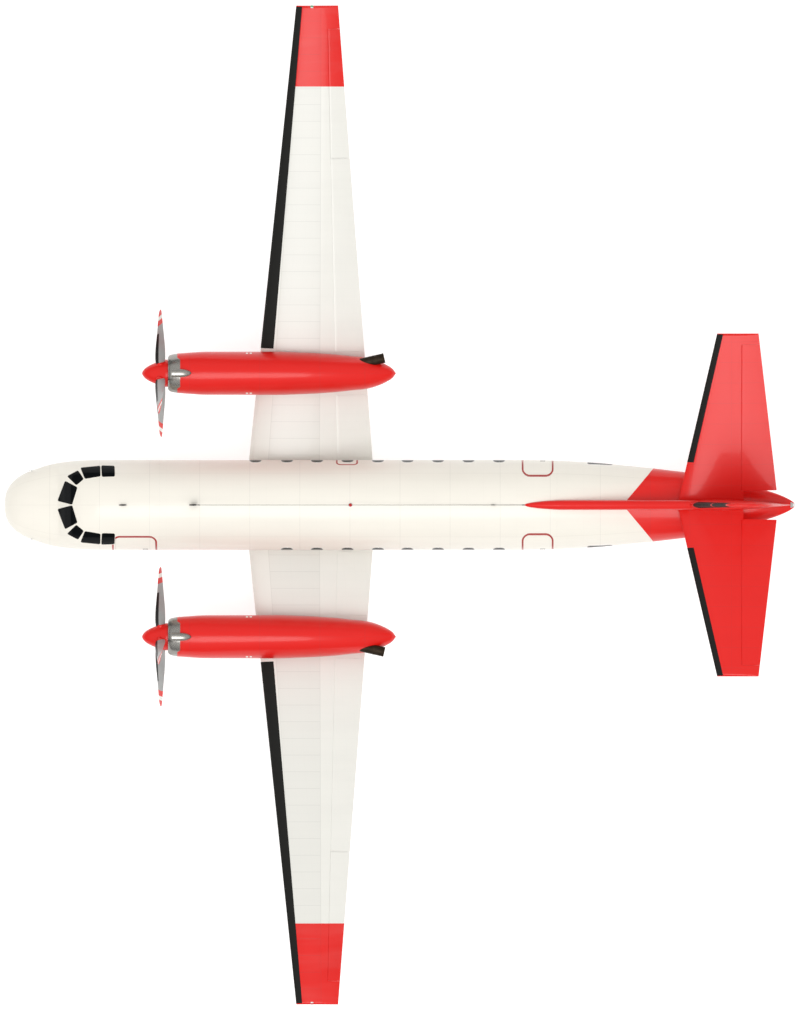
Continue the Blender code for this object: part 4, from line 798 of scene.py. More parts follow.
class Surface:
    """A wing, tailplane or fin before it is placed: x along the chord, y out along the span, z through it.
    The edges and the hinge are straight lines, each given by its x where the span starts and its slope."""

    def __init__(self, start, tip, edges, thick, turn, camber, hinge, place, tip_round=0.07):
        self.start, self.tip, self.edges, self.thick, self.turn = start, tip, edges, thick, turn
        self.camber, self.hinge, self.place, self.tip_round = camber, hinge, place, tip_round

    def line(self, y, at_start, slope):
        return at_start + slope * (y - self.start)

    def edge(self, y):
        return [self.line(y, *edge) for edge in self.edges]

    def heights(self, x, y, lift=0.0):
        """Upper and lower surface. The half thickness is the four-digit section's, the middle line is a
        parabola, both turn about the quarter chord, and in the last stretch to the tip the thickness falls
        as a circle."""
        lead, trail = self.edge(y)
        chord = trail - lead
        at = np.clip((x - lead) / chord, 0, 1)
        share = (y - self.start) / (self.tip - self.start)
        thick, turn = [a + (b - a) * share for a, b in (self.thick, self.turn)]
        half = 0.2969 * np.sqrt(at) - 0.126 * at - 0.3516 * at**2 + 0.2843 * at**3 - 0.1036 * at**4
        half = 5 * thick * half * chord + EDGE_THICK / 2 * at
        near = np.clip((y - self.tip + self.tip_round) / self.tip_round, 0, 1)
        half = half * np.sqrt(1 - near**2) + lift
        middle = 4 * self.camber * at * (1 - at) * chord + (0.25 - at) * chord * np.tan(np.radians(turn))
        return middle + half, middle - half

    def ring(self, x, y, lift=0.0):
        """Points over the top from the last x to the first, and back below. The map is x and y in metres."""
        top, bottom = self.heights(x, y, lift)
        along, height = np.concatenate((x, x[:, ::-1]), 1), np.concatenate((top, bottom[:, ::-1]), 1)
        across = np.concatenate((y * np.ones_like(x), (y * np.ones_like(x))[:, ::-1]), 1)
        return np.stack((along, across, height), -1)

    def closed(self, points, caps=True, kind=0):
        """Closes the rings, and both ends with a point in their middle."""
        points = np.concatenate((points, points[:, :1]), 1)
        if caps:
            points = capped(points)
        return self.place(points), points[..., :2].copy(), kind

    def tip_rows(self):
        """Places along the span where the tip rounds off, as a quarter of a circle."""
        return self.tip - self.tip_round * (1 - np.sin(np.radians(np.linspace(0, 90, 7))))

    def around(self, share, y):
        """Points over the top at each share of the chord, then back below at the same shares."""
        lead, trail = self.edge(y)
        x = lead + (trail - lead) * np.concatenate((share, share[::-1]))
        top, bottom = self.heights(x, y)
        return np.stack((x, y, np.where(np.arange(x.shape[-1]) < len(share), top, bottom)), -1)

    def skin(self, root, count=34):
        """The whole surface. Root is where it starts, for each share of the chord, and the shares are spaced
        as a cosine, closer at the edges."""
        share = (1 + np.cos(np.linspace(0, math.pi, count))) / 2
        flat = np.linspace(0, 1, 36)[:-1] * (self.tip - self.tip_round - self.start) + self.start
        out = (np.concatenate((flat, self.tip_rows())) - self.start) / (self.tip - self.start)
        root = root(self, share) if callable(root) else np.full(2 * count, root)
        return self.closed(self.around(share, root + (self.tip - root) * out[:, None]))

    def flap(self, y_range, count=14):
        """A moving surface: half a circle about the hinge line, as high as the section is thick there, then
        the section's own surfaces back to the trailing edge."""
        y = np.linspace(*y_range, 13)[:, None]
        axis, trail = self.line(y, *self.hinge), self.edge(y)[1]
        top, bottom = self.heights(axis, y)
        middle, radius = (top + bottom) / 2, (top - bottom) / 2
        x = axis + (trail - axis) * np.linspace(1, 0, count)
        skin = self.ring(x, y)
        a = np.radians(np.linspace(90, 270, 19))[1:-1]
        nose = np.stack((axis + radius * np.cos(a), y * np.ones_like(a), middle + radius * np.sin(a)), -1)
        return self.closed(np.concatenate((skin[:, :count], nose, skin[:, count:]), 1))

    def cove(self, y_range, gap, side_gap):
        """The room for it: its round nose grown by the gap, opening a little as it runs back past the
        edge."""
        y = np.array((y_range[0] - side_gap, y_range[1] + side_gap))[:, None]
        axis, trail = self.line(y, *self.hinge), self.edge(y)[1]
        top, bottom = self.heights(axis, y)
        middle, radius = (top + bottom) / 2, (top - bottom) / 2 + gap
        a = np.radians(np.linspace(90, 270, 19))
        x = np.concatenate((trail + 0.3, axis + radius * np.cos(a), trail + 0.3), 1)
        ends = [middle + way * (radius + 0.05) for way in (1, -1)]
        z = np.concatenate((ends[0], middle + radius * np.sin(a), ends[1]), 1)
        return self.closed(np.stack((x, y * np.ones_like(x), z), -1), kind=1)

    def boot(self, y_range, widths, count=12):
        """A rubber strip round the nose, a little proud. It closes on itself under the skin, and its ends
        taper."""
        rows = self.tip_rows()
        y = np.sort(np.concatenate((y_range, np.linspace(*y_range, 21), rows[rows < y_range[1]])))[:, None]
        x = self.edge(y)[0] + np.interp(y, y_range, widths) * np.linspace(1, 0, count) ** 2
        lift = np.full_like(y, BOOT_PROUD)
        lift[[0, -1]] = -BOOT_SUNK
        outer = self.ring(x, y, lift)
        outer[..., 0] -= lift
        inner = self.ring(x, y, -BOOT_SUNK)[:, ::-1]
        inner[..., 0] += BOOT_SUNK
        return self.closed(np.concatenate((outer, inner), 1), caps=False)


def tilted(angle, height):
    """Turns a plan up about the body's long axis, and lifts it."""
    c, s = math.cos(math.radians(angle)), math.sin(math.radians(angle))

    def place(points):
        x, y, z = np.moveaxis(points, -1, 0)
        return np.stack((x, y * c - z * s, y * s + z * c + height), -1)

    return place


def wing_root(surface, share):
    """How far out each line of the wing's skin comes through the fuselage, found by halving the stretch, to a
    little inside the sheet."""
    near, far = np.full(2 * len(share), 0.1), np.full(2 * len(share), 2.6)
    for _ in range(30):
        y = (near + far) / 2
        inside = skin_level(surface.place(surface.around(share, y))) < 0.97
        near, far = np.where(inside, y, near), np.where(inside, far, y)
    return near


def mirrored(source):
    """The same piece on the left: y changes sign, and the faces turn over with it."""
    mesh = source.data.copy()
    places = point_places(source) * (1, -1, 1)
    mesh.vertices.foreach_set("co", places.ravel())
    mesh.flip_normals()
    made = bpy.data.objects.new(source.name.replace("right", "left"), mesh)
    bpy.context.scene.collection.objects.link(made)
    return made


def fit_both(made, body, slot, *nodes):
    """Fits a right-hand piece and its mirror image. Names that end in right have a left twin."""
    twin = mirrored(made)
    fit(made, body, slot, *nodes)
    fit(twin, body.replace("right", "left"), slot, *[node.replace("right", "left") for node in nodes])


def wing_spars(f):
    """Distance out, distances behind the front and the rear spar, and 1 on the box between them."""
    x, y = f.along(f.place, 0), f.calc("ABSOLUTE", f.along(f.place, 1))
    places = [f.calc("ADD", at, f.calc("MULTIPLY", y, lean)) for at, lean in SPARS]
    front, rear = [f.calc("SUBTRACT", x, place) for place in places]
    return y, front, rear, f.calc("MULTIPLY", f.over(front, 0.0), f.calc("SUBTRACT", 1.0, f.over(rear, 0.0)))


# The box between the spars, which the wing's paint makes a little darker as painted shade.
def wing_box(f):
    return wing_spars(f)[3]


def wing_seams(f):
    """Rib lines between the spars every half metre, and the lines along both spars."""
    y, front, rear, between = wing_spars(f)
    ribs = f.calc("MULTIPLY", f.repeats(y, 0.50, 0.012), between)
    joints = f.most(ribs, f.line(front, 0.012), f.line(rear, 0.012))
    return joints, riveted(f, y, front, 0.25, 0.32)


def wing_red(f):
    return f.over(f.calc("ABSOLUTE", f.along(f.place, 1)), TIP_RED_Y)


# The white is painted a little darker on the box between the spars, as painted shade.
wing_paint = sheet_paint("wing_paint", WING_WHITE, wing_seams, wing_red, painted_shade_area=wing_box)
boot_rubber = plain_finish("boot_rubber", (0.012, 0.012, 0.011), 0.55, 0.25, 9.0, specular=0.1)
wings = Surface(
    start=1.40, tip=HALF_SPAN / math.cos(math.radians(DIHEDRAL)), edges=((-4.53, 0.104), (-0.825, -0.0752)),
    thick=(0.18, 0.12), turn=(3.0, 1.0), camber=0.02, hinge=(-1.86, -0.0217), place=tilted(DIHEDRAL, WING_Z),
)
wing = piece("wing_box_right", [wings.skin(wing_root)], [wing_paint, wing_paint])
rooms = [wings.cove(y_range, FLAP_GAP, END_GAP) for y_range in (INBOARD_FLAP, OUTBOARD_FLAP)]
rooms.append(wings.cove(AILERON, HINGE_GAP, END_GAP))
carve(wing, *[piece("cutter", [room], [wing_paint, wing_paint]) for room in rooms])
fit_both(wing, "airframe", "white_paint", "wing_right")
fit_both(piece("wing_boot_right", [wings.boot(*WING_BOOT)], [boot_rubber]), "airframe", "tyre")

# Flaps and ailerons
# Sheet over ribs on one spar, with a round nose that turns in the wing's trailing edge. The flaps run on
# tracks inside the wing, and each aileron turns on three hinges.
for name, y_range in (("inboard_flap", INBOARD_FLAP), ("outboard_flap", OUTBOARD_FLAP)):
    panel = piece(name + "_panel_right", [wings.flap(y_range)], [wing_paint])
    fit_both(panel, "airframe", "white_paint", name + "_right")
aileron = piece("aileron_panel_right", [wings.flap(AILERON)], [wing_paint])
fit_both(aileron, "aileron_right", "white_paint", "aileron_right")

# Fin, dorsal fillet and rudder
# A tall swept fin of sheet over two spars, all red, with rubber boots on its leading edge. A hollow fillet
# runs forward from its foot along the crown. The rudder turns behind it on three hinges.
DORSAL_HALF, DORSAL_SUNK, CROWN_Z = 0.145, 0.15, 4.05
DORSAL = np.array((  # x, share of the half width, height over the crown
    (3.70, 0.00, 0.00), (3.75, 0.20, 0.03), (3.95, 0.52, 0.07), (4.30, 0.80, 0.13), (4.90, 1.00, 0.22),
    (6.60, 1.00, 0.52), (8.20, 1.00, 0.88), (9.20, 0.95, 1.15), (9.60, 0.90, 1.24),
))
FIN_FOOT, RUDDER = 3.86, (4.12, 8.80)  # z of the skin's lower edge, and z range
FIN_BOOTS = ((5.45, 7.35), (7.50, 9.04))  # z ranges
FIN_BOOT_WIDTH = 0.17


def upright(points):
    """Stands a plan on its root: the span goes up, and the thickness goes across."""
    return points[..., (0, 2, 1)]


def tail_seams(f):
    """Rivet lines of the ribs, square to the span, and one line along the front spar."""
    uv = f.put("UVMap", uv_map="metres")
    along, across = f.along(uv, 1), f.along(uv, 0)
    joints = f.most(f.repeats(along, 0.62, 0.010), f.repeats(across, 1.24, 0.008))
    return joints, riveted(f, along, across, 0.31, 0.31)


def dorsal_fillet(x):
    """Rings across the crown: upright sides, then half an ellipse as wide as the fillet and no taller than
    it."""
    share, height = through(DORSAL[:, 0], DORSAL[:, 1:], x).T[:, :, None]
    half = DORSAL_HALF * share
    lift = np.minimum(half, height)
    foot = 0 * half - DORSAL_SUNK
    a = np.radians(np.linspace(0, 180, 19))
    y = np.concatenate((half, half * np.cos(a), -half), 1)
    z = CROWN_Z + np.concatenate((foot, height - lift + lift * np.sin(a), foot), 1)
    points = np.stack((x[:, None] * np.ones_like(y), y, z), -1)
    return mapped(capped(np.concatenate((points, points[:, :1]), 1)))


tail_paint = sheet_paint("tail_paint", RED, tail_seams)
fins = Surface(
    start=3.95, tip=9.17, edges=((8.38, 0.2567), (11.72, -0.11877)), thick=(0.10, 0.10), turn=(0, 0),
    camber=0.0, hinge=(10.56, 0.0), place=upright, tip_round=0.14,
)
fin = piece("fin_box", [fins.skin(FIN_FOOT)], [tail_paint, tail_paint])
carve(fin, piece("cutter", [fins.cove(RUDDER, HINGE_GAP, HINGE_GAP)], [tail_paint, tail_paint]))
fit(fin, "airframe", "red_paint", "fin")
fillet_x = steps(DORSAL[0, 0], DORSAL[-1, 0], 0.1)
fit(piece("dorsal_fillet", [dorsal_fillet(fillet_x)], [tail_paint]), "airframe", "red_paint")
boots = [fins.boot(z_range, (FIN_BOOT_WIDTH,) * 2) for z_range in FIN_BOOTS]
fit(piece("fin_boots", boots, [boot_rubber]), "airframe", "tyre")
fit(piece("rudder_panel", [fins.flap(RUDDER)], [tail_paint]), "rudder", "red_paint", "rudder")

# Tailplane and elevators
# Two red tailplanes bolted to the foot of the fin, rising outboard, with a boot on each leading edge. An
# elevator turns behind each on its own hinges, and both are cut back at the root so that the rudder can
# swing.
TAIL_HALF_SPAN, TAIL_DIHEDRAL, TAIL_Z = 5.13, 10, 4.20
TAIL_ROOT, ELEVATOR = 0.05, (0.45, 4.87)  # where the skin starts, and range along the span
TAIL_BOOT = ((1.31, 5.19), (0.19, 0.18))
RUDDER_ROOM = ((10.28, 12.0), (-1.0, 0.452), (3.5, 5.0))  # x, y and z ranges
tails = Surface(
    start=0.0, tip=TAIL_HALF_SPAN / math.cos(math.radians(TAIL_DIHEDRAL)),
    edges=((8.30, 0.228), (11.33, -0.116)), thick=(0.10, 0.10), turn=(0, 0), camber=0.0, hinge=(10.25, 0.0),
    place=tilted(TAIL_DIHEDRAL, TAIL_Z),
)
tail = piece("tailplane_box_right", [tails.skin(TAIL_ROOT)], [tail_paint, tail_paint])
elevator_room = piece("cutter", [tails.cove(ELEVATOR, HINGE_GAP, END_GAP)], [tail_paint, tail_paint])
room_x, room_y, room_z = RUDDER_ROOM
carve(tail, elevator_room, cutter(rectangle(*zip(room_x, room_y)), room_z, 2))
fit_both(tail, "airframe", "red_paint", "tailplane_right")
elevator = piece("elevator_panel_right", [tails.flap(ELEVATOR)], [tail_paint])
fit_both(elevator, "elevator_right", "red_paint", "elevator_right")
fit_both(piece("tail_boot_right", [tails.boot(*TAIL_BOOT)], [boot_rubber]), "airframe", "tyre")

# Nacelles and main doors
# A long red cowl of sheet on frames carries each engine ahead of the wing and the main gear under it. The
# front is open round the engine, and a narrow bay in the belly has two tall doors that stay open on the
# ground.
NACELLE_Y, THRUST_Z = 3.95, 3.00
TAPER_X, COWL_END = -0.80, -0.12  # from where the cowl's tail is rounded, and its end
NACELLE = np.array((  # x, half width, top, bottom, height of the widest line
    (-6.615, 0.598, 3.598, 2.402, 3.00), (-6.30, 0.622, 3.622, 2.34, 2.99), (-5.85, 0.648, 3.65, 2.16, 2.95),
    (-5.25, 0.650, 3.66, 1.93, 2.90), (-4.50, 0.650, 3.66, 1.70, 2.84), (-3.75, 0.650, 3.65, 1.60, 2.78),
    (-2.91, 0.625, 3.60, 1.58, 2.72), (-2.01, 0.572, 3.45, 1.67, 2.68), (-1.47, 0.516, 3.30, 1.81, 2.64),
    (-0.99, 0.465, 3.13, 1.99, 2.60), (-0.63, 0.363, 2.95, 2.15, 2.56), (-0.375, 0.243, 2.80, 2.29, 2.54),
    (-0.22, 0.140, 2.68, 2.39, 2.53), (-0.12, 0.0, 2.53, 2.53, 2.53),
))
FIREWALL_X, ENGINE_BAY = -4.25, 0.52
WHEEL_BAY = ((-3.45, -2.12), 0.30, (1.0, 2.15))  # x range, half width, z range
MAIN_DOOR = ((-3.40, -2.65), (1.42, 1.87), 0.016)  # x and z ranges, half thickness
MAIN_DOOR_OUT = 0.2837  # from the nacelle's middle
COWL_JOINTS = (-6.30, -4.20, -2.40, -1.05)
WALK_DASH = ((-4.62, -4.44), 0.60, 0.035)  # x range, distance from the middle, width
COWL_RING = np.radians(np.linspace(-90, 270, 97))  # from the bottom up the right side and back


def cowl(x):
    """Rings of two half ellipses about the widest line, on a smooth curve through the sections."""
    half, top, bottom, widest = through(NACELLE[:, 0], NACELLE[:, 1:], x).T[:, :, None]
    a = COWL_RING
    reach = np.where(np.sin(a) < 0, widest - bottom, top - widest)
    y, z = NACELLE_Y + half * np.cos(a), widest + reach * np.sin(a)
    points = np.stack((x[:, None] * np.ones_like(a), y, z), -1)
    return points, np.stack((points[..., 0], 0.65 * a * np.ones_like(half)), -1), 0


def round_thrust(x, radius, a, kind=0):
    """Rings round the thrust line: y is the nacelle's middle plus the radius times the cosine of the angle,
    and z the line's height plus the radius times its sine."""
    y, z = NACELLE_Y + radius * np.cos(a), THRUST_Z + radius * np.sin(a)
    return mapped(np.stack((x + 0 * a, y, z), -1), kind)


def cowl_seams(f):
    """Joints round the cowl where the panels come off, and the long hinge lines of the side panels."""
    uv = f.put("UVMap", uv_map="metres")
    x, round_it = f.along(uv, 0), f.along(uv, 1)
    joints = f.most(*[f.line(f.calc("SUBTRACT", x, at), 0.012) for at in COWL_JOINTS])
    hinges = f.repeats(f.calc("ADD", round_it, 0.34), 1.36, 0.010)
    return f.most(joints, hinges), riveted(f, x, round_it, 0.35, 0.34)


def walk_dashes(f):
    """Pairs of short white marks along both sides of the cowl's top, above the wing's leading edge."""
    (first, last), out, width = WALK_DASH
    x, z = f.along(f.place, 0), f.along(f.place, 2)
    away = f.calc("SUBTRACT", f.calc("ABSOLUTE", f.along(f.place, 1)), NACELLE_Y)
    y = f.calc("SUBTRACT", f.calc("ABSOLUTE", away), out)
    middle = f.calc("SUBTRACT", x, (first + last) / 2)
    mark = f.calc("SUBTRACT", f.line(middle, last - first), f.line(middle, 0.05))
    return f.calc("MULTIPLY", f.calc("MULTIPLY", f.line(y, width), mark), f.over(z, 2.9))


def bay_door(door, middle, side, ease, rib):
    """A flat door with eased edges, and four upright ribs on its inner face. The rib is the distance of its
    middle from that face and half its thickness."""
    (first, last), (low, high), half = door
    rib_off, rib_half = rib
    grids = [slab((first, middle - half, low), (last, middle + half, high), 0, ease, 1)]
    inner = middle - side * (half + rib_off)
    for x in np.linspace(first + 0.1, last - 0.1, 4):
        corner = (x - 0.012, inner - rib_half, low + 0.04)
        grids.append(slab(corner, (x + 0.012, inner + rib_half, high - 0.04), 1))
    return grids


cowl_paint = sheet_paint("cowl_paint", RED, cowl_seams, walk_dashes, CREAM)
bay_green = plain_finish("bay_primer", (0.19, 0.21, 0.12), 0.6, 0.2, 6.0)
front_x = NACELLE[0, 0]
bore_x = np.array((FIREWALL_X, FIREWALL_X, front_x))[:, None]
bore = round_thrust(bore_x, np.array((0, ENGINE_BAY, ENGINE_BAY))[:, None], COWL_RING, 1)
taper = COWL_END + (TAPER_X - COWL_END) * (1 - np.linspace(0, 1, 12)[1:]) ** 1.6
outside = cowl(np.concatenate((steps(front_x, TAPER_X, 0.10), taper)))
nacelle = piece("nacelle_cowl_right", [joined_rows(bore, outside)], [cowl_paint, bay_green])
(bay_first, bay_last), bay_half, bay_z = WHEEL_BAY
corners = rectangle((bay_first, NACELLE_Y - bay_half), (bay_last, NACELLE_Y + bay_half))
carve(nacelle, cutter(corners, bay_z, 2, [cowl_paint, bay_green]))
fit_both(nacelle, "airframe", "red_paint", "nacelle_right")
for name, side in (("outer", 1), ("inner", -1)):
    parts = bay_door(MAIN_DOOR, NACELLE_Y + side * MAIN_DOOR_OUT, side, 0.006, (0.010, 0.012))
    door = piece("main_door_panel_right_" + name, parts, [cowl_paint, bay_green])
    fit_both(door, "airframe", "red_paint", "main_door_right_" + name)

# Intake rings and engines
# A polished lip of bare alloy on the front of each cowl, with a small oil cooler scoop on its crown and a
# thin strap over the joint behind it. Struts carry the engine's round nose case inside it.
INTAKE_OUTSIDE = ((-6.955, 0.470), (-6.940, 0.505), (-6.870, 0.555), (-6.700, 0.588), (-6.6153, 0.598))
INTAKE_INSIDE = ((-6.6153, 0.505), (-6.800, 0.475), (-6.930, 0.452), (-6.955, 0.470))
SCOOP = ((-6.84, -6.245), 0.125, (3.50, 3.74))  # x range, half width, z range
SCOOP_POWER = 0.7
RING_STRAP = (-6.70, -6.675, -6.587, 47)  # first x, last x at the sides and on top, and half the top's angle
STRAP_LIFT, STRAP_SUNK = 0.004, 0.002
COWL_STRAP = (-6.696, -6.59, 0.0025)  # first x, last x and lift of the painted sheet under it
ENGINE_CASE = (  # x and radius
    (-6.62, 0), (-6.62, 0.13), (-6.58, 0.17), (-6.45, 0.20), (-6.30, 0.30), (-6.10, 0.34), (-5.0, 0.34),
    (-5.0, 0),
)
ENGINE_STRUTS = (-6.40, 0.18, 0.50, 0.018, 8)  # x, inner and outer distance, radius, number


def eased(rows, count):
    """A smooth curve through points in a plane, by the distance run along them."""
    rows = np.array(rows, float)
    run = np.concatenate(([0], np.cumsum(np.linalg.norm(np.diff(rows, axis=0), axis=1))))
    return through(run, rows, np.linspace(0, run[-1], count))


def scoop():
    """A hood that is a rounded square in section, cosine and sine each to a power. It narrows towards the
    back as 1 less the fourth power of the way along, to the same power. Its mouth is a short tunnel with a
    flat end."""
    (first, last), half, (low, high) = SCOOP
    along = np.linspace(0, 1, 25)[:, None]
    around = np.radians(np.linspace(0, 360, 33))
    full = np.clip(1 - along**4, 0, 1) ** SCOOP_POWER
    middle = (low + high) / 2
    y = NACELLE_Y + half * full * bent(np.cos(around), SCOOP_POWER)
    z = middle + (high - low) / 2 * full * bent(np.sin(around), SCOOP_POWER)
    hood = np.stack((first + (last - first) * along + 0 * around, y, z), -1)
    inward = np.array((first, NACELLE_Y, middle)) - hood[0]
    mouth_steps = ((1.0, 0.10), (0.14, 0.10), (0.10, 0.0))  # share of the way inwards, and depth
    mouth = [hood[0] + inward * share + (depth, 0, 0) for share, depth in mouth_steps]
    return mapped(np.concatenate((mouth, hood)))


def strap(first, last, lift):
    """A thin sheet round the joint of ring and cowl, between two edges given for every angle: over and back
    under."""
    share = np.concatenate((np.linspace(0, 1, 8), (1, 0.5, 0, 0)))[:, None]
    raised = np.concatenate((np.full(8, lift), np.full(3, -STRAP_SUNK), (lift,)))[:, None]
    x = first + (last - first) * share + 0 * strap_angle
    radius = np.interp(x, *np.array((*INTAKE_OUTSIDE[2:], NACELLE[1, :2])).T) + raised
    return round_thrust(x, radius, strap_angle)


polished = bare_metal("polished_alloy", (0.30, 0.29, 0.27), 0.24, (0.2, 3.0, 3.0))
dark_steel = bare_metal("dark_steel", (0.20, 0.20, 0.21), 0.42)
front = np.array((0, NACELLE_Y, THRUST_Z))
lip = np.concatenate((eased(INTAKE_INSIDE, 16), eased(INTAKE_OUTSIDE, 26)[1:]))
lip = np.concatenate((lip, lip[:1]))
strap_angle = np.radians(np.linspace(-90, 270, 145))
strap_first, strap_side, strap_top, strap_half = RING_STRAP
from_top = abs((np.degrees(strap_angle) + 90) % 360 - 180)
on_top = np.clip((strap_half + 5 - from_top) / 10, 0, 1)
strap_last = strap_side + (strap_top - strap_side) * on_top**2 * (3 - 2 * on_top)
parts = [turned(lip, front, (1, 0, 0), 96), scoop(), strap(strap_first, strap_last, STRAP_LIFT)]
ring = piece("intake_lip_right", parts, [polished, recess_painted_shade])
fit_both(piece("cowl_front_right", [strap(*COWL_STRAP)], [cowl_paint]), "airframe", "red_paint")
fit_both(ring, "airframe", "polished_metal", "intake_ring_right")
parts = [turned(ENGINE_CASE, front, (1, 0, 0), 32)]
strut_x, inner, outer, bar, count = ENGINE_STRUTS
for a in np.radians(np.arange(0, 360, 360 / count)):
    middle, way = front + (strut_x, 0, 0), np.array((0, math.cos(a), math.sin(a)))
    parts.append(rod(middle + inner * way, middle + outer * way, bar, 10))
fit_both(piece("engine_front_right", parts, [dark_steel]), "airframe", "engine_metal")
for side in ("right", "left"):
    finish_node("engine_" + side, dark_steel)

# Exhaust pipes
# One short pipe of heat-stained steel leaves the outer side of each nacelle, turned a little outwards, with
# a rolled lip and a soot-black bore.
EXHAUST_END, EXHAUST_TOE = (-0.468, 4.409, 2.86), 12.9
EXHAUST_LENGTH, EXHAUST_RADIUS, EXHAUST_WALL, EXHAUST_BORE = 1.20, 0.15, 0.012, 0.30


def burnt_steel():
    """Dark steel, blue-brown in bands from the heat, and matt with soot."""
    f = Finish("burnt_steel", 0.5, 0.8, specular=0.2)
    heat = f.noise(3.0, 4.0, stretch=(3.0, 0.6, 0.6))
    f.colour(f.mix(heat, (0.012, 0.008, 0.005), (0.050, 0.034, 0.022)))
    f.rough(0.42, 0.66, f.noise(18.0))
    f.bump(f.noise(40.0), 0.0008, 0.5)
    return f.material


toe = math.radians(EXHAUST_TOE)
way = (math.cos(toe), math.sin(toe), 0)
long, wide = EXHAUST_LENGTH, EXHAUST_RADIUS
narrow = wide - EXHAUST_WALL
pipe = (
    (-long, 0), (-long, wide - 0.005), (-long + 0.03, wide - 0.003), (-0.34, wide - 0.003), (-0.33, wide),
    (-0.30, wide), (-0.29, wide - 0.003), (-0.02, wide - 0.003), (-0.012, wide), (-0.004, wide),
    (0, wide - 0.004), (0, narrow), (-EXHAUST_BORE, narrow), (-EXHAUST_BORE, 0),
)
exhaust = piece("exhaust_pipe_right", [turned(pipe, EXHAUST_END, way, 48)], [burnt_steel()])
fit_both(exhaust, "airframe", "burnt_metal", "exhaust_right")

# Propellers and spinners
# Four satin grey metal blades on each hub, with black rubber de-icer strips at the root and red and white
# bands at the tip. A red spun alloy spinner covers the hub. Both propellers turn the same way.
PROPELLER_X, PROPELLER_RADIUS, BLADES = -7.185, 2.21, 4
FIRST_BLADE = {"right": 31.5, "left": 19.5}  # degrees from +Y towards +Z
BLADE = np.array((  # radius, chord, thickness, pitch
    (0.20, 0.160, 0.160, 71), (0.28, 0.190, 0.158, 71), (0.40, 0.290, 0.110, 71), (0.55, 0.330, 0.075, 65),
    (0.90, 0.360, 0.048, 51), (1.45, 0.370, 0.032, 31), (1.85, 0.345, 0.024, 22), (2.08, 0.290, 0.018, 18),
    (2.17, 0.215, 0.014, 17), (PROPELLER_RADIUS, 0.100, 0.010, 16),
))
BLADE_ROUND = 0.11  # length of the stretch in which the tip is rounded
# Columns of the next four: place along the axis, radius
HUB = ((-0.20, 0), (-0.20, 0.12), (-0.12, 0.21), (0.12, 0.21), (0.15, 0.11), (0.6847, 0.11), (0.6847, 0))
SPINNER = (
    (-7.737, 0), (-7.725, 0.045), (-7.70, 0.085), (-7.65, 0.145), (-7.50, 0.243), (-7.35, 0.309),
    (-7.20, 0.360), (-7.02, 0.411),
)
SPINNER_BACK = ((-6.945, 0.409), (-6.99, 0.405), (-6.99, 0.12), (-6.99, 0))
CUFF = ((0.285, 0.0), (0.285, 0.125), (0.345, 0.122), (0.400, 0.104), (0.408, 0.0))  # from the hub's middle
TIP_BANDS = (2.02, 1.89, 1.71)  # inner edge of the outer red, of the white and of the inner red
BOOT_END = 1.45


def blade(centre, turn):
    """One blade upright, then turned to its place. Around each section the point is the chord's direction
    times the cosine and the thickness times the sine, fuller behind the leading edge. The map holds radius
    and cosine."""
    first, last = BLADE[0, 0], PROPELLER_RADIUS - BLADE_ROUND
    tip = PROPELLER_RADIUS - BLADE_ROUND * (1 - np.linspace(0, 1, 9)[1:]) ** 1.5
    r = np.concatenate((np.linspace(first, last, 40), tip))[:, None]
    chord, thick, pitch = through(BLADE[:, 0], BLADE[:, 1:], r[:, 0]).T[:, :, None]
    a = np.radians(np.linspace(0, 360, 37))
    pitch = np.radians(pitch)
    deep = thick / 2 * np.sin(a) * (1 + 0.35 * np.cos(a) * (1 - thick / chord))
    x = -np.sin(pitch) * chord / 2 * np.cos(a) + np.cos(pitch) * deep
    y = -np.cos(pitch) * chord / 2 * np.cos(a) - np.sin(pitch) * deep
    z = r * np.ones_like(a)
    c, s = math.cos(turn), math.sin(turn)
    points = np.stack((x, y * c - z * s, y * s + z * c), -1) + centre
    maps = np.stack((z, np.cos(a) * np.ones_like(z)), -1)
    ends = [(np.broadcast_to(points[k].mean(0), (1, *points.shape[1:])), maps[k:][:1], 0) for k in (0, -1)]
    return joined_rows(ends[0], (points, maps, 0), ends[1])


def blade_finish():
    """Satin grey paint, worn along the leading edge, with slanting bands at the tip and a rubber strip."""
    f = Finish("blade_finish", 0.34, 0.15, specular=0.3)
    uv = f.put("UVMap", uv_map="metres")
    radius, lead = f.along(uv, 0), f.along(uv, 1)
    slanted = f.calc("SUBTRACT", radius, f.calc("MULTIPLY", lead, 0.03))
    outer, white, inner = [f.over(slanted, edge) for edge in TIP_BANDS]
    tone = f.mix(f.noise(6.0, 4.0), (0.30, 0.30, 0.295), (0.36, 0.36, 0.355))
    tone = f.mix(f.calc("MULTIPLY", f.over(lead, 0.93, 0.04), 0.5), tone, (0.62, 0.62, 0.60))
    tone = f.mix(inner, tone, RED)
    tone = f.mix(white, tone, (0.80, 0.79, 0.75))
    tone = f.mix(outer, tone, RED)
    strip = f.calc("MULTIPLY", f.over(lead, 0.45, 0.01), f.calc("SUBTRACT", 1.0, f.over(radius, BOOT_END)))
    f.colour(f.mix(strip, tone, (0.015, 0.015, 0.015)))
    f.rough(0.28, 0.42, f.noise(25.0))
    f.bump(f.calc("ADD", strip, f.calc("MULTIPLY", f.noise(60.0), 0.1)), 0.002, 0.6)
    return f.material


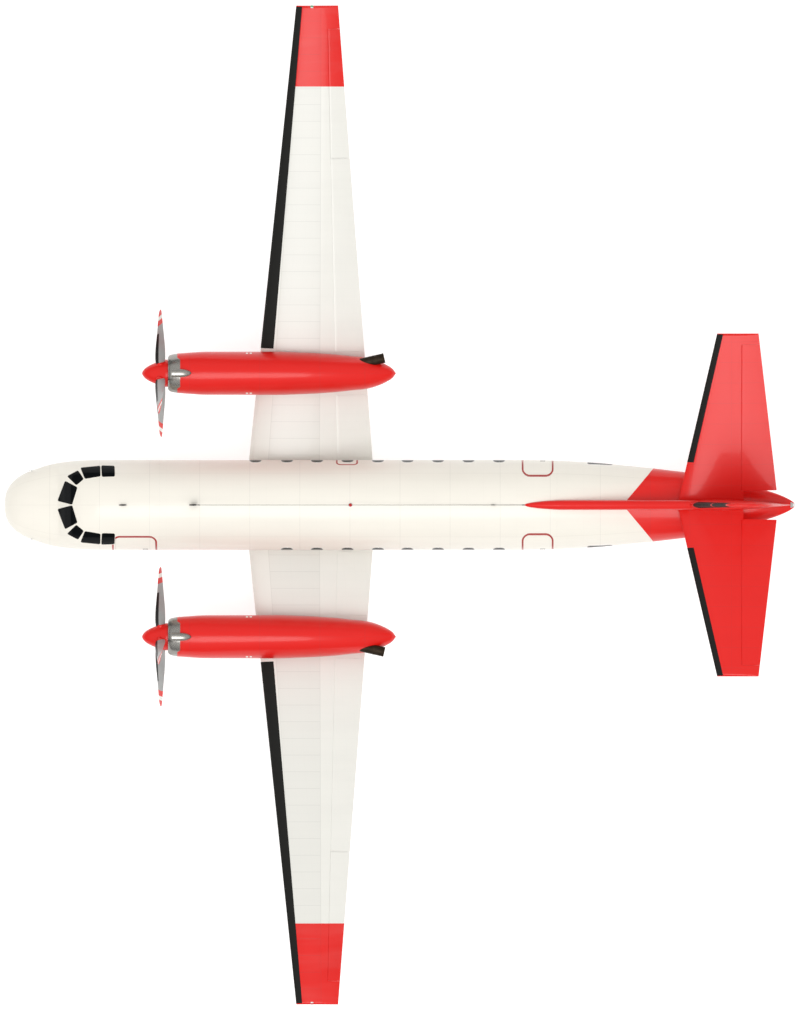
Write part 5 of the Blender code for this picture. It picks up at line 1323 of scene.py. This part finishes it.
blade_paint = blade_finish()
spinner_paint = sheet_paint("spinner_paint", RED)
for side, y in (("right", NACELLE_Y), ("left", -NACELLE_Y)):
    centre = (PROPELLER_X, y, THRUST_Z)
    turns = np.radians(FIRST_BLADE[side] - 90 + 360 / BLADES * np.arange(BLADES))
    parts = [blade(centre, turn) for turn in turns] + [turned(HUB, centre, (1, 0, 0), 32, 1)]
    blades = piece("blades_" + side, parts, [blade_paint, dark_steel])
    fit(blades, "propeller_" + side, "blade_metal", "propeller_blades_" + side)
    shape = np.concatenate((eased(SPINNER, 44), SPINNER_BACK))
    parts = [turned(shape, (0, y, THRUST_Z), (1, 0, 0), 72)]
    parts += [turned(CUFF, centre, (0, -math.sin(turn), math.cos(turn)), 32) for turn in turns]
    cone = piece("spinner_cone_" + side, parts, [spinner_paint])
    fit(cone, "propeller_" + side, "red_paint", "spinner_" + side)

# Main landing gear
# An oil-sprung steel leg under each nacelle carries two wheels on one axle. It is painted satin grey, folds
# on a trunnion pin between the bay's sides, and has two drag struts in front and a pair of torque links
# behind.
MAIN_X, MAIN_TYRE = -2.40, (0.43, 0.135, 0.24)  # x, and radius, half width and distance from the leg
MAIN_RIM, MAIN_LEG, MAIN_PISTON, MAIN_AXLE = 0.22, 0.095, 0.065, 0.05
# Behind the leg, for each link: x and z of its lower corner, then of its upper one
MAIN_LINKS = ((0.03, 0.52, 0.22, 0.58), (0.17, 0.55, 0.22, 0.98), (0.03, 0.93, 0.22, 0.99))
MAIN_TUBE, MAIN_PISTON_Z = (1.02, 2.14), (0.50, 1.03)  # z ranges
MAIN_TRUNNION = (0.2995, 1.85, 0.05)  # half length, z, radius
MAIN_DRAG = ((0.078, 1.25), (-3.25, 0.13, 2.05))  # y and z at the leg, then x, y and z of the upper end
MAIN_HOSE = (  # from the leg: x, y to either side, and z
    (0.05, 0.075, 1.90), (0.10, 0.10, 1.50), (0.13, 0.115, 1.12), (0.20, 0.10, 0.82), (0.13, 0.085, 0.56),
    (0.05, 0.08, 0.45),
)
GROOVE_HALF, GROOVE_DEPTH = 0.006, 0.010


def tyre_rubber():
    """Worn black rubber: paler dust on the sides and in the grooves."""
    f = Finish("tyre_rubber", 0.75)
    dust = f.noise(7.0, 5.0)
    f.colour(f.mix(dust, (0.012, 0.012, 0.012), (0.045, 0.043, 0.040)))
    f.rough(0.65, 0.9, dust)
    f.bump(f.noise(90.0), 0.0008, 0.6)
    return f.material


def tyre(centre, radius, half, rim, grooves=4):
    """A tyre turned about Y. The section is a rounded square, sine and cosine each to the power 2 / 2.6,
    from bead to bead, and narrow grooves with steep sides are cut round the tread."""
    power = 2 / 2.6
    centres = np.linspace(-0.5, 0.5, grooves) * half
    walls = (centres[:, None] + GROOVE_HALF * np.array((-1.0, -0.7, 0.7, 1.0))).ravel()
    a = np.arcsin(bent(walls / half, 1 / power))
    a = np.sort(np.concatenate((np.radians(np.linspace(-146, 146, 49)), a)))
    side = half * bent(np.sin(a), power)
    tall = (radius - rim) / 2
    height = rim + tall + tall * bent(np.cos(a), power)
    sunk = np.abs(side[:, None] - centres).min(1) < 0.85 * GROOVE_HALF
    height -= GROOVE_DEPTH * (sunk & (np.cos(a) > 0))
    profile = np.stack((side, height), -1)
    return turned(np.concatenate((profile, profile[:1])), centre, (0, 1, 0), 96)


def hub(centre, rim, half, out, bolts=10):
    """A cast wheel: deep rim flanges, a dished web, a hub cap, and a ring of bolts on the side that faces
    out."""
    face = half * 0.78
    profile = (
        (-face + 0.03, 0.0), (-face + 0.03, rim - 0.04), (-face, rim - 0.03), (-face, rim + 0.004),
        (-face + 0.012, rim + 0.008), (-face + 0.02, rim - 0.002), (face - 0.02, rim - 0.002),
        (face - 0.012, rim + 0.008), (face, rim + 0.004), (face, rim - 0.03), (face - 0.05, rim - 0.04),
        (face - 0.06, rim * 0.55), (face - 0.02, rim * 0.42), (face - 0.02, 0.075), (face + 0.005, 0.070),
        (face + 0.012, 0.055), (face + 0.012, 0.0),
    )
    parts = [turned(profile, centre, (0, out, 0), 64)]
    for a in np.radians(np.arange(0, 360, 360 / bolts)):
        spot = np.array(centre) + (0, out * (face - 0.03), 0)
        spot += rim * 0.48 * np.array((math.cos(a), 0, math.sin(a)))
        parts.append(rod(spot, spot + (0, out * 0.022, 0), 0.010, 6))
    return parts


gear_paint = plain_finish("gear_paint", (0.46, 0.47, 0.48), 0.38, 0.10, 12.0, 0.0004)
chrome = bare_metal("chrome_piston", (0.75, 0.75, 0.76), 0.10)
hose_rubber = plain_finish("hose_rubber", (0.012, 0.012, 0.012), 0.5)
rubber = tyre_rubber()
radius, half, away = MAIN_TYRE
sides = (("starboard", 1), ("port", -1))
for name, side in sides:
    for leg, y in (("right", NACELLE_Y), ("left", -NACELLE_Y)):
        grid = tyre((MAIN_X, y + side * away, radius), radius, half, MAIN_RIM)
        made = piece(f"tyre_{leg}_{name}", [grid], [rubber])
        fit(made, "main_wheels_" + leg, "tyre", f"main_tyre_{leg}_{name}")
x, y = MAIN_X, NACELLE_Y
parts = [grid for side in (1, -1) for grid in hub((x, y + side * away, radius), MAIN_RIM, half, side)]
for side in (-1, 1):
    parts.append(rod((x, y + side * away, radius), (x, y + side * 0.11, radius), MAIN_AXLE + 0.012, 24))
wheels = piece("main_wheels_cast_right", parts, [gear_paint])
fit_both(wheels, "main_wheels_right", "gear_metal", "main_hubs_right")


def leg_tube(x, y, z_range, radius):
    """The outer tube with its lower collar, a filler boss and two clamp bands."""
    low, high = z_range
    profile = (
        (low, 0), (low, radius + 0.012), (low + 0.02, radius + 0.03), (low + 0.10, radius + 0.03),
        (low + 0.13, radius + 0.004), (low + 0.14, radius), (low + 0.40, radius),
        (low + 0.405, radius + 0.008), (low + 0.435, radius + 0.008), (low + 0.44, radius),
        (high - 0.02, radius), (high, radius - 0.01), (high, 0),
    )
    return turned(profile, (x, y, 0), (0, 0, 1), 40)


def torque_links(x, y, links, half, kind=0):
    return [slab((x + a, y - half, low), (x + b, y + half, high), kind, 0.006) for a, low, b, high in links]


def hose(points, radius=0.008, kind=2):
    """A tube along a smooth curve through points, with rings square to the curve's own direction."""
    line = np.array(points, float)
    run = np.concatenate(([0], np.cumsum(np.linalg.norm(np.diff(line, axis=0), axis=1))))
    line = through(run, line, np.linspace(0, run[-1], 28))
    way = np.gradient(line, axis=0)
    way /= np.linalg.norm(way, axis=1)[:, None]
    side = np.cross(way, (0.31, 0.95, 0.05))
    side /= np.linalg.norm(side, axis=1)[:, None]
    up = np.cross(way, side)
    a = np.radians(np.linspace(0, 360, 11))[None, :, None]
    rings = line[:, None] + radius * (side[:, None] * np.cos(a) + up[:, None] * np.sin(a))
    ends = [np.broadcast_to(line[k], (1, *rings.shape[1:])) for k in (0, -1)]
    return mapped(np.concatenate((ends[0], rings, ends[1])), kind)


parts = [leg_tube(x, y, MAIN_TUBE, MAIN_LEG)]
pin_half, pin_z, pin_radius = MAIN_TRUNNION
parts.append(rod((x, y - pin_half, pin_z), (x, y + pin_half, pin_z), pin_radius, 24))
(foot_y, foot_z), (head_x, head_y, head_z) = MAIN_DRAG
for side in (1, -1):
    parts.append(rod((x, y + side * foot_y, foot_z), (head_x, y + side * head_y, head_z), 0.035))
    parts.append(rod((x - 0.02, y + side * 0.05, foot_z), (x - 0.02, y + side * 0.12, foot_z), 0.055, 20))
    parts.append(hose([(x + a, y + side * b, z) for a, b, z in MAIN_HOSE], 0.009))
parts += torque_links(x, y, MAIN_LINKS[2:], 0.03)
leg = piece("main_leg_tube_right", parts, [gear_paint, chrome, hose_rubber])
fit_both(leg, "airframe", "gear_metal", "main_leg_right")
low, high = MAIN_PISTON_Z
piston = ((low, 0), (low, MAIN_PISTON), (high, MAIN_PISTON), (high, 0))
knuckle = ((-0.095, 0), (-0.095, 0.078), (-0.088, 0.085), (0.088, 0.085), (0.095, 0.078), (0.095, 0))
parts = [turned(piston, (x, y, 0), (0, 0, 1), 36, 1), turned(knuckle, (x, y, radius), (0, 1, 0), 36)]
parts.append(rod((x, y - away - 0.05, radius), (x, y + away + 0.05, radius), MAIN_AXLE, 24))
parts += torque_links(x, y, MAIN_LINKS[:2], 0.03)
carrier = piece("main_axle_fork_right", parts, [gear_paint, chrome])
fit_both(carrier, "airframe", "gear_metal", "main_axle_right")

# Nose landing gear
# A lighter sprung leg with twin wheels, braced by one strut behind the radar bay. The lower part steers,
# with the torque links turning it. Two white doors hang open beside it, and a lamp is clamped to the leg.
NOSE_GEAR_X, NOSE_TYRE, NOSE_RIM = -9.60, (0.325, 0.105, 0.17), 0.16
NOSE_LEG, NOSE_PISTON, NOSE_AXLE = 0.08, 0.055, 0.04
NOSE_LINKS = ((0.02, 0.40, 0.16, 0.45), (0.12, 0.42, 0.16, 0.92), (0.02, 0.89, 0.16, 0.93))
NOSE_DOOR = ((-10.65, -9.72), (1.20, 1.72), 0.015)
NOSE_TUBE, NOSE_PISTON_Z, COLLAR_TOP = (0.98, 1.96), (0.33, 0.88), 0.9797
NOSE_TRUNNION = (0.2595, 1.62, 0.045)  # half length, z, radius
NOSE_DRAG = (1.25, (-10.45, 0, 2.10))  # z at the leg, and the upper end
ACTUATOR = (0.115, 1.06)  # distance from the middle, and z
# Columns: x from the leg, y, z
NOSE_HOSE = ((0.04, 0.07, 1.60), (0.10, 0.10, 1.35), (0.10, 0.09, 1.15), (0.08, 0.05, 1.02))
LAMP = (-0.115, 1.44)  # x from the leg, z
LAMP_BOWL = ((0.06, 0), (0.06, 0.05), (0.0, 0.085), (-0.01, 0.088), (-0.01, 0.080))
LAMP_FACE = ((-0.01, 0.080), (-0.016, 0.05), (-0.018, 0.0))

radius, half, away = NOSE_TYRE
for name, side in sides:
    grid = tyre((NOSE_GEAR_X, side * away, radius), radius, half, NOSE_RIM, 3)
    fit(piece("nose_wheel_tyre_" + name, [grid], [rubber]), "nose_wheels", "tyre", "nose_tyre_" + name)
x = NOSE_GEAR_X
parts = [grid for side in (1, -1) for grid in hub((x, side * away, radius), NOSE_RIM, half, side, 8)]
fit(piece("nose_wheels_cast", parts, [gear_paint]), "nose_wheels", "gear_metal", "nose_hubs")

parts = [leg_tube(x, 0, NOSE_TUBE, NOSE_LEG)]
pin_half, pin_z, pin_radius = NOSE_TRUNNION
parts.append(rod((x, -pin_half, pin_z), (x, pin_half, pin_z), pin_radius, 24))
drag_z, drag_head = NOSE_DRAG
parts.append(rod((x, 0, drag_z), drag_head, 0.035))
parts.append(rod((x - 0.03, -0.075, drag_z), (x - 0.03, 0.075, drag_z), 0.05, 20))
out, z = ACTUATOR
for y in (out, -out):
    parts.append(rod((x + 0.02, y, z), (x - 0.16, y, z), 0.028, 18))
    parts.append(rod((x - 0.16, y, z), (x - 0.26, y, z), 0.014, 12, 1))
parts.append(slab((x - 0.05, -0.13, z - 0.015), (x + 0.03, 0.13, z + 0.015)))
parts.append(hose([(x + a, b, c) for a, b, c in NOSE_HOSE]))
lamp_x, lamp_z = LAMP
for profile, kind in ((LAMP_BOWL, 0), (LAMP_FACE, 3)):
    parts.append(turned(profile, (x + lamp_x, 0, lamp_z), (1, 0, 0), 32, kind))
lamp_glass = plain_finish("lamp_glass", (0.55, 0.57, 0.58), 0.06, 0.05, 60.0, 0.0008)
leg_materials = [gear_paint, chrome, hose_rubber, lamp_glass]
fit(piece("nose_leg_tube", parts, leg_materials), "airframe", "gear_metal", "nose_leg")
low, high = NOSE_PISTON_Z
fork = (
    (low, 0), (low, NOSE_PISTON), (high, NOSE_PISTON), (high + 0.002, NOSE_LEG), (COLLAR_TOP, NOSE_LEG),
    (COLLAR_TOP, 0),
)
ends = ((-0.05, 0), (-0.05, 0.064), (-0.044, 0.07), (0.044, 0.07), (0.05, 0.064), (0.05, 0))
parts = [turned(fork, (x, 0, 0), (0, 0, 1), 36, 1), turned(ends, (x, 0, radius), (0, 1, 0), 36)]
parts.append(rod((x, -away - 0.04, radius), (x, away + 0.04, radius), NOSE_AXLE, 24))
parts += torque_links(x, 0, NOSE_LINKS, 0.025)
fit(piece("nose_fork_tube", parts, [gear_paint, chrome]), "nose_steering", "gear_metal", "nose_fork")
for name, side in (("right", 1), ("left", -1)):
    middle = side * (NOSE_BAY[1] - NOSE_DOOR[2] - 0.0003)
    parts = bay_door(NOSE_DOOR, middle, side, 0.005, (0.008, 0.010))
    door = piece("nose_door_panel_" + name, parts, [cream_trim, bay_green])
    fit(door, "airframe", "white_paint", "nose_door_" + name)

# Lights and aerials
# Small fittings screwed to the skin: a red beacon and a wire aerial on the crown, coloured lamps on the wing
# tips, a white lamp on the tail and pitot tubes on the nose.
MAST = (-6.20, 0.42)  # x and height of its top over the crown
MAST_FOOT_Z, WIRE_END, WIRE_RADIUS = 4.03, (3.74, 4.062), 0.006  # height, x and z, radius
WIRE_BEAD = ((0.0, 0), (0.01, 0.010), (0.05, 0.014), (0.09, 0.010), (0.10, 0))
BEACON_X, BELLY_BEACON_X, TIP_LAMP_X = -1.485, -0.6, -2.64
TAIL_LAMP = (11.80, 3.60)  # x and z
TAIL_LAMP_PROFILE = (
    (-0.10, 0.0), (-0.10, 0.10), (-0.03, 0.075), (-0.025, 0.065), (0.03, 0.045), (0.062, 0.0),
)
PITOT = (-11.04, 2.62)  # x and z
PITOT_TUBE = ((0.03, 0), (0.025, 0.010), (-0.08, 0.009), (-0.11, 0.005), (-0.11, 0))
# Columns: x, z of the foot, side of the body (above is 1), height, half its length, half its thickness
BLADE_AERIALS = (
    (2.79, 4.035, 1, 0.11, 0.08, 0.012), (-8.31, 4.035, 1, 0.10, 0.125, 0.022),
    (-3.9, 1.365, -1, 0.22, 0.165, 0.014), (1.6, 1.365, -1, 0.22, 0.165, 0.014),
)


def lamp_finish(name, colour):
    """Coloured glass over a small reflector: bright, smooth, with fine ribs."""
    f = Finish(name, 0.08, coat=0.3, specular=0.4)
    f.colour(f.mix(f.noise(30.0), shade(colour, 0.8), colour))
    f.bump(f.repeats(f.along(f.place, 0), 0.012, 0.006, 0.002), 0.001)
    return f.material


def dome(centre, way, radius, height, stretch=1.0, kind=0):
    """Half an ellipsoid on a low round base, its length stretched along X."""
    a = np.radians(np.linspace(0, 90, 10))
    profile = [(-0.03, 0), (-0.03, radius * 1.15), (0.006, radius * 1.15), (0.008, radius)]
    profile += [(0.008 + height * math.sin(t), radius * math.cos(t)) for t in a]
    points, maps, _ = turned(profile, (0, 0, 0), way, 32)
    kinds = np.array([kind + 1] * 3 + [kind] * (len(profile) - 4))[:, None]
    return points * (stretch, 1, 1) + np.array(centre, float), maps, kinds


def spot_on_skin(x, across, view):
    return on_skin(np.array((x,)), np.array((across,)), view)[0]


def aerial(x, y, z):
    """Rings of x and y one over another, closed at both ends."""
    return mapped(capped(np.stack((x, y, z + 0 * x), -1)))


red_lamp = lamp_finish("red_lamp", (0.60, 0.01, 0.01))
green_lamp = lamp_finish("green_lamp", (0.015, 0.34, 0.09))
white_lamp = lamp_finish("white_lamp", (0.80, 0.82, 0.80))
beacon = dome(spot_on_skin(BEACON_X, 0.0, "above"), (0, 0, 1), 0.055, 0.09)
fit(piece("crown_beacon", [beacon], [red_lamp, satin_metal]), "airframe", "glazing")
beacon = dome(spot_on_skin(BELLY_BEACON_X, 0.0, "below"), (0, 0, -1), 0.075, 0.10)
fit(piece("belly_beacon", [beacon], [red_lamp, satin_metal]), "airframe", "glazing")
for name, side, glass_kind in (("right", 1, green_lamp), ("left", -1, red_lamp)):
    top, bottom = wings.heights(np.array(TIP_LAMP_X), np.array(14.9))
    tip = wings.place(np.array((TIP_LAMP_X, wings.tip - 0.045, (top + bottom) / 2))) * (1, side, 1)
    lamp = dome(tip, (0, side, 0), 0.075, 0.045)
    fit(piece("tip_lamp_" + name, [lamp], [glass_kind, satin_metal]), "airframe", "glazing")
lamp_x, lamp_z = TAIL_LAMP
kinds = np.array((1, 1, 1, 0, 0))[:, None]
tail_lamp = turned(TAIL_LAMP_PROFILE, (lamp_x, 0, lamp_z), (1, 0, 0), 32, kinds)
fit(piece("tail_lamp", [tail_lamp], [white_lamp, satin_metal]), "airframe", "glazing")

mast_x, mast_up = MAST
up = np.linspace(0, 1, 9)[:, None]
turn = np.radians(np.linspace(0, 360, 25))
chord, thick = 0.13 - 0.05 * up, 0.024 * (1 - 0.4 * up)
mast_z = MAST_FOOT_Z + (mast_up + 0.02) * up
mast = aerial(mast_x + 0.06 * up + chord * np.cos(turn), thick * np.sin(turn), mast_z)
fit(piece("aerial_mast", [mast], [sealant]), "airframe", "white_paint")
wire_x, wire_z = WIRE_END
top, foot = np.array((mast_x + 0.13, 0, MAST_FOOT_Z + mast_up)), np.array((wire_x, 0, wire_z))
parts = [rod(top, foot, WIRE_RADIUS, 8)]
parts += [turned(WIRE_BEAD, spot, way, 12, 1) for spot, way in ((top, foot - top), (foot, top - foot))]
fit(piece("aerial_wire", parts, [hose_rubber, sealant]), "airframe", "gear_metal")
blades = []
for at, foot_z, view, tall, half, thick in BLADE_AERIALS:
    up = np.linspace(0, 1, 7)[:, None]
    x = at + half * (0.2 * up + (1 - 0.2 * up) * np.cos(turn))
    y = thick * np.sin(turn) * (1 - 0.5 * up**3)
    blades.append(aerial(x, y, foot_z + view * tall * up))
fit(piece("blade_aerials", blades, [sealant]), "airframe", "white_paint")

parts = []
for side, view in ((1, "right"), (-1, "left")):
    foot = spot_on_skin(*PITOT, view)
    out = foot + (-0.01, side * 0.045, 0)
    parts.append(rod(foot - (0, side * 0.03, 0), out, 0.010, 12))
    parts.append(turned(PITOT_TUBE, out, (1, 0, 0), 16))
fit(piece("pitot_tubes", parts, [satin_metal]), "airframe", "gear_metal")

# Studio
# A pale floor that the wheels stand on, soft light from above with one broad lamp a little towards the left
# wing, and a camera straight above, so far away that the view is almost without perspective.
FLOOR_RADIUS = 320.0
FLOOR_GLOW = 0.51  # the floor is lit a little from within, so that shadows stay pale
SKY_SHARES = {"From Min": 0.0, "From Max": 0.6, "To Min": 0.20, "To Max": 0.95}  # brighter with height
KEY_ENERGY, KEY_ANGLE, KEY_TILT = 1.30, 34, 15  # angles in degrees
SENSOR, LENS = 36, 1000.0  # millimetres
VIEW_HEIGHT = 30.3  # metres from the image's top to its bottom, along the sensor's longer side
VIEW_Z = 2.5  # height at which they are measured


def floor_finish():
    f = Finish("studio_floor", 0.9, specular=0.1)
    f.shader.inputs["Emission Color"].default_value = (1.0, 1.0, 1.0, 1.0)
    f.shader.inputs["Emission Strength"].default_value = FLOOR_GLOW
    f.colour(f.mix(f.noise(0.4), (0.69, 0.69, 0.69), (0.71, 0.71, 0.71)))
    f.bump(f.noise(30.0), 0.001, 0.2)
    return f.material


turn = np.radians(np.linspace(0, 360, 97))[None, :]
reach = np.array((0.0, 20.0, 80.0, FLOOR_RADIUS))[:, None]
disc = np.stack((reach * np.cos(turn), reach * np.sin(turn), 0 * reach * turn - 0.002), -1)
floor = piece("studio_floor", [mapped(disc)], [floor_finish()])
if floor.data.polygons[0].normal.z < 0:
    floor.data.flip_normals()

world = bpy.data.worlds.new("studio")
bpy.context.scene.world = world
world.use_nodes = True
sky = world.node_tree
backdrop = sky.nodes["Background"]
direction = sky.nodes.new("ShaderNodeTexCoord").outputs["Generated"]
split = sky.nodes.new("ShaderNodeSeparateXYZ")
ramp = sky.nodes.new("ShaderNodeMapRange")
sky.links.new(direction, split.inputs[0])
sky.links.new(split.outputs["Z"], ramp.inputs["Value"])
for name, value in SKY_SHARES.items():
    ramp.inputs[name].default_value = value
sky.links.new(ramp.outputs[0], backdrop.inputs["Strength"])
backdrop.inputs["Color"].default_value = (1.0, 1.0, 0.99, 1.0)

lamp = bpy.data.lights.new("soft_key", "SUN")
lamp.energy = KEY_ENERGY
lamp.angle = math.radians(KEY_ANGLE)
key = bpy.data.objects.new("soft_key", lamp)
key.rotation_euler = (math.radians(KEY_TILT), 0, 0)
bpy.context.scene.collection.objects.link(key)

lens = bpy.data.cameras.new("camera")
lens.lens = LENS
lens.sensor_width = SENSOR
lens.clip_end = 2000
camera = bpy.data.objects.new("camera", lens)
camera.location = (0, 0, VIEW_Z + VIEW_HEIGHT / SENSOR * LENS)
bpy.context.scene.collection.objects.link(camera)
bpy.context.scene.camera = camera
bpy.context.scene.view_settings.view_transform = "Standard"
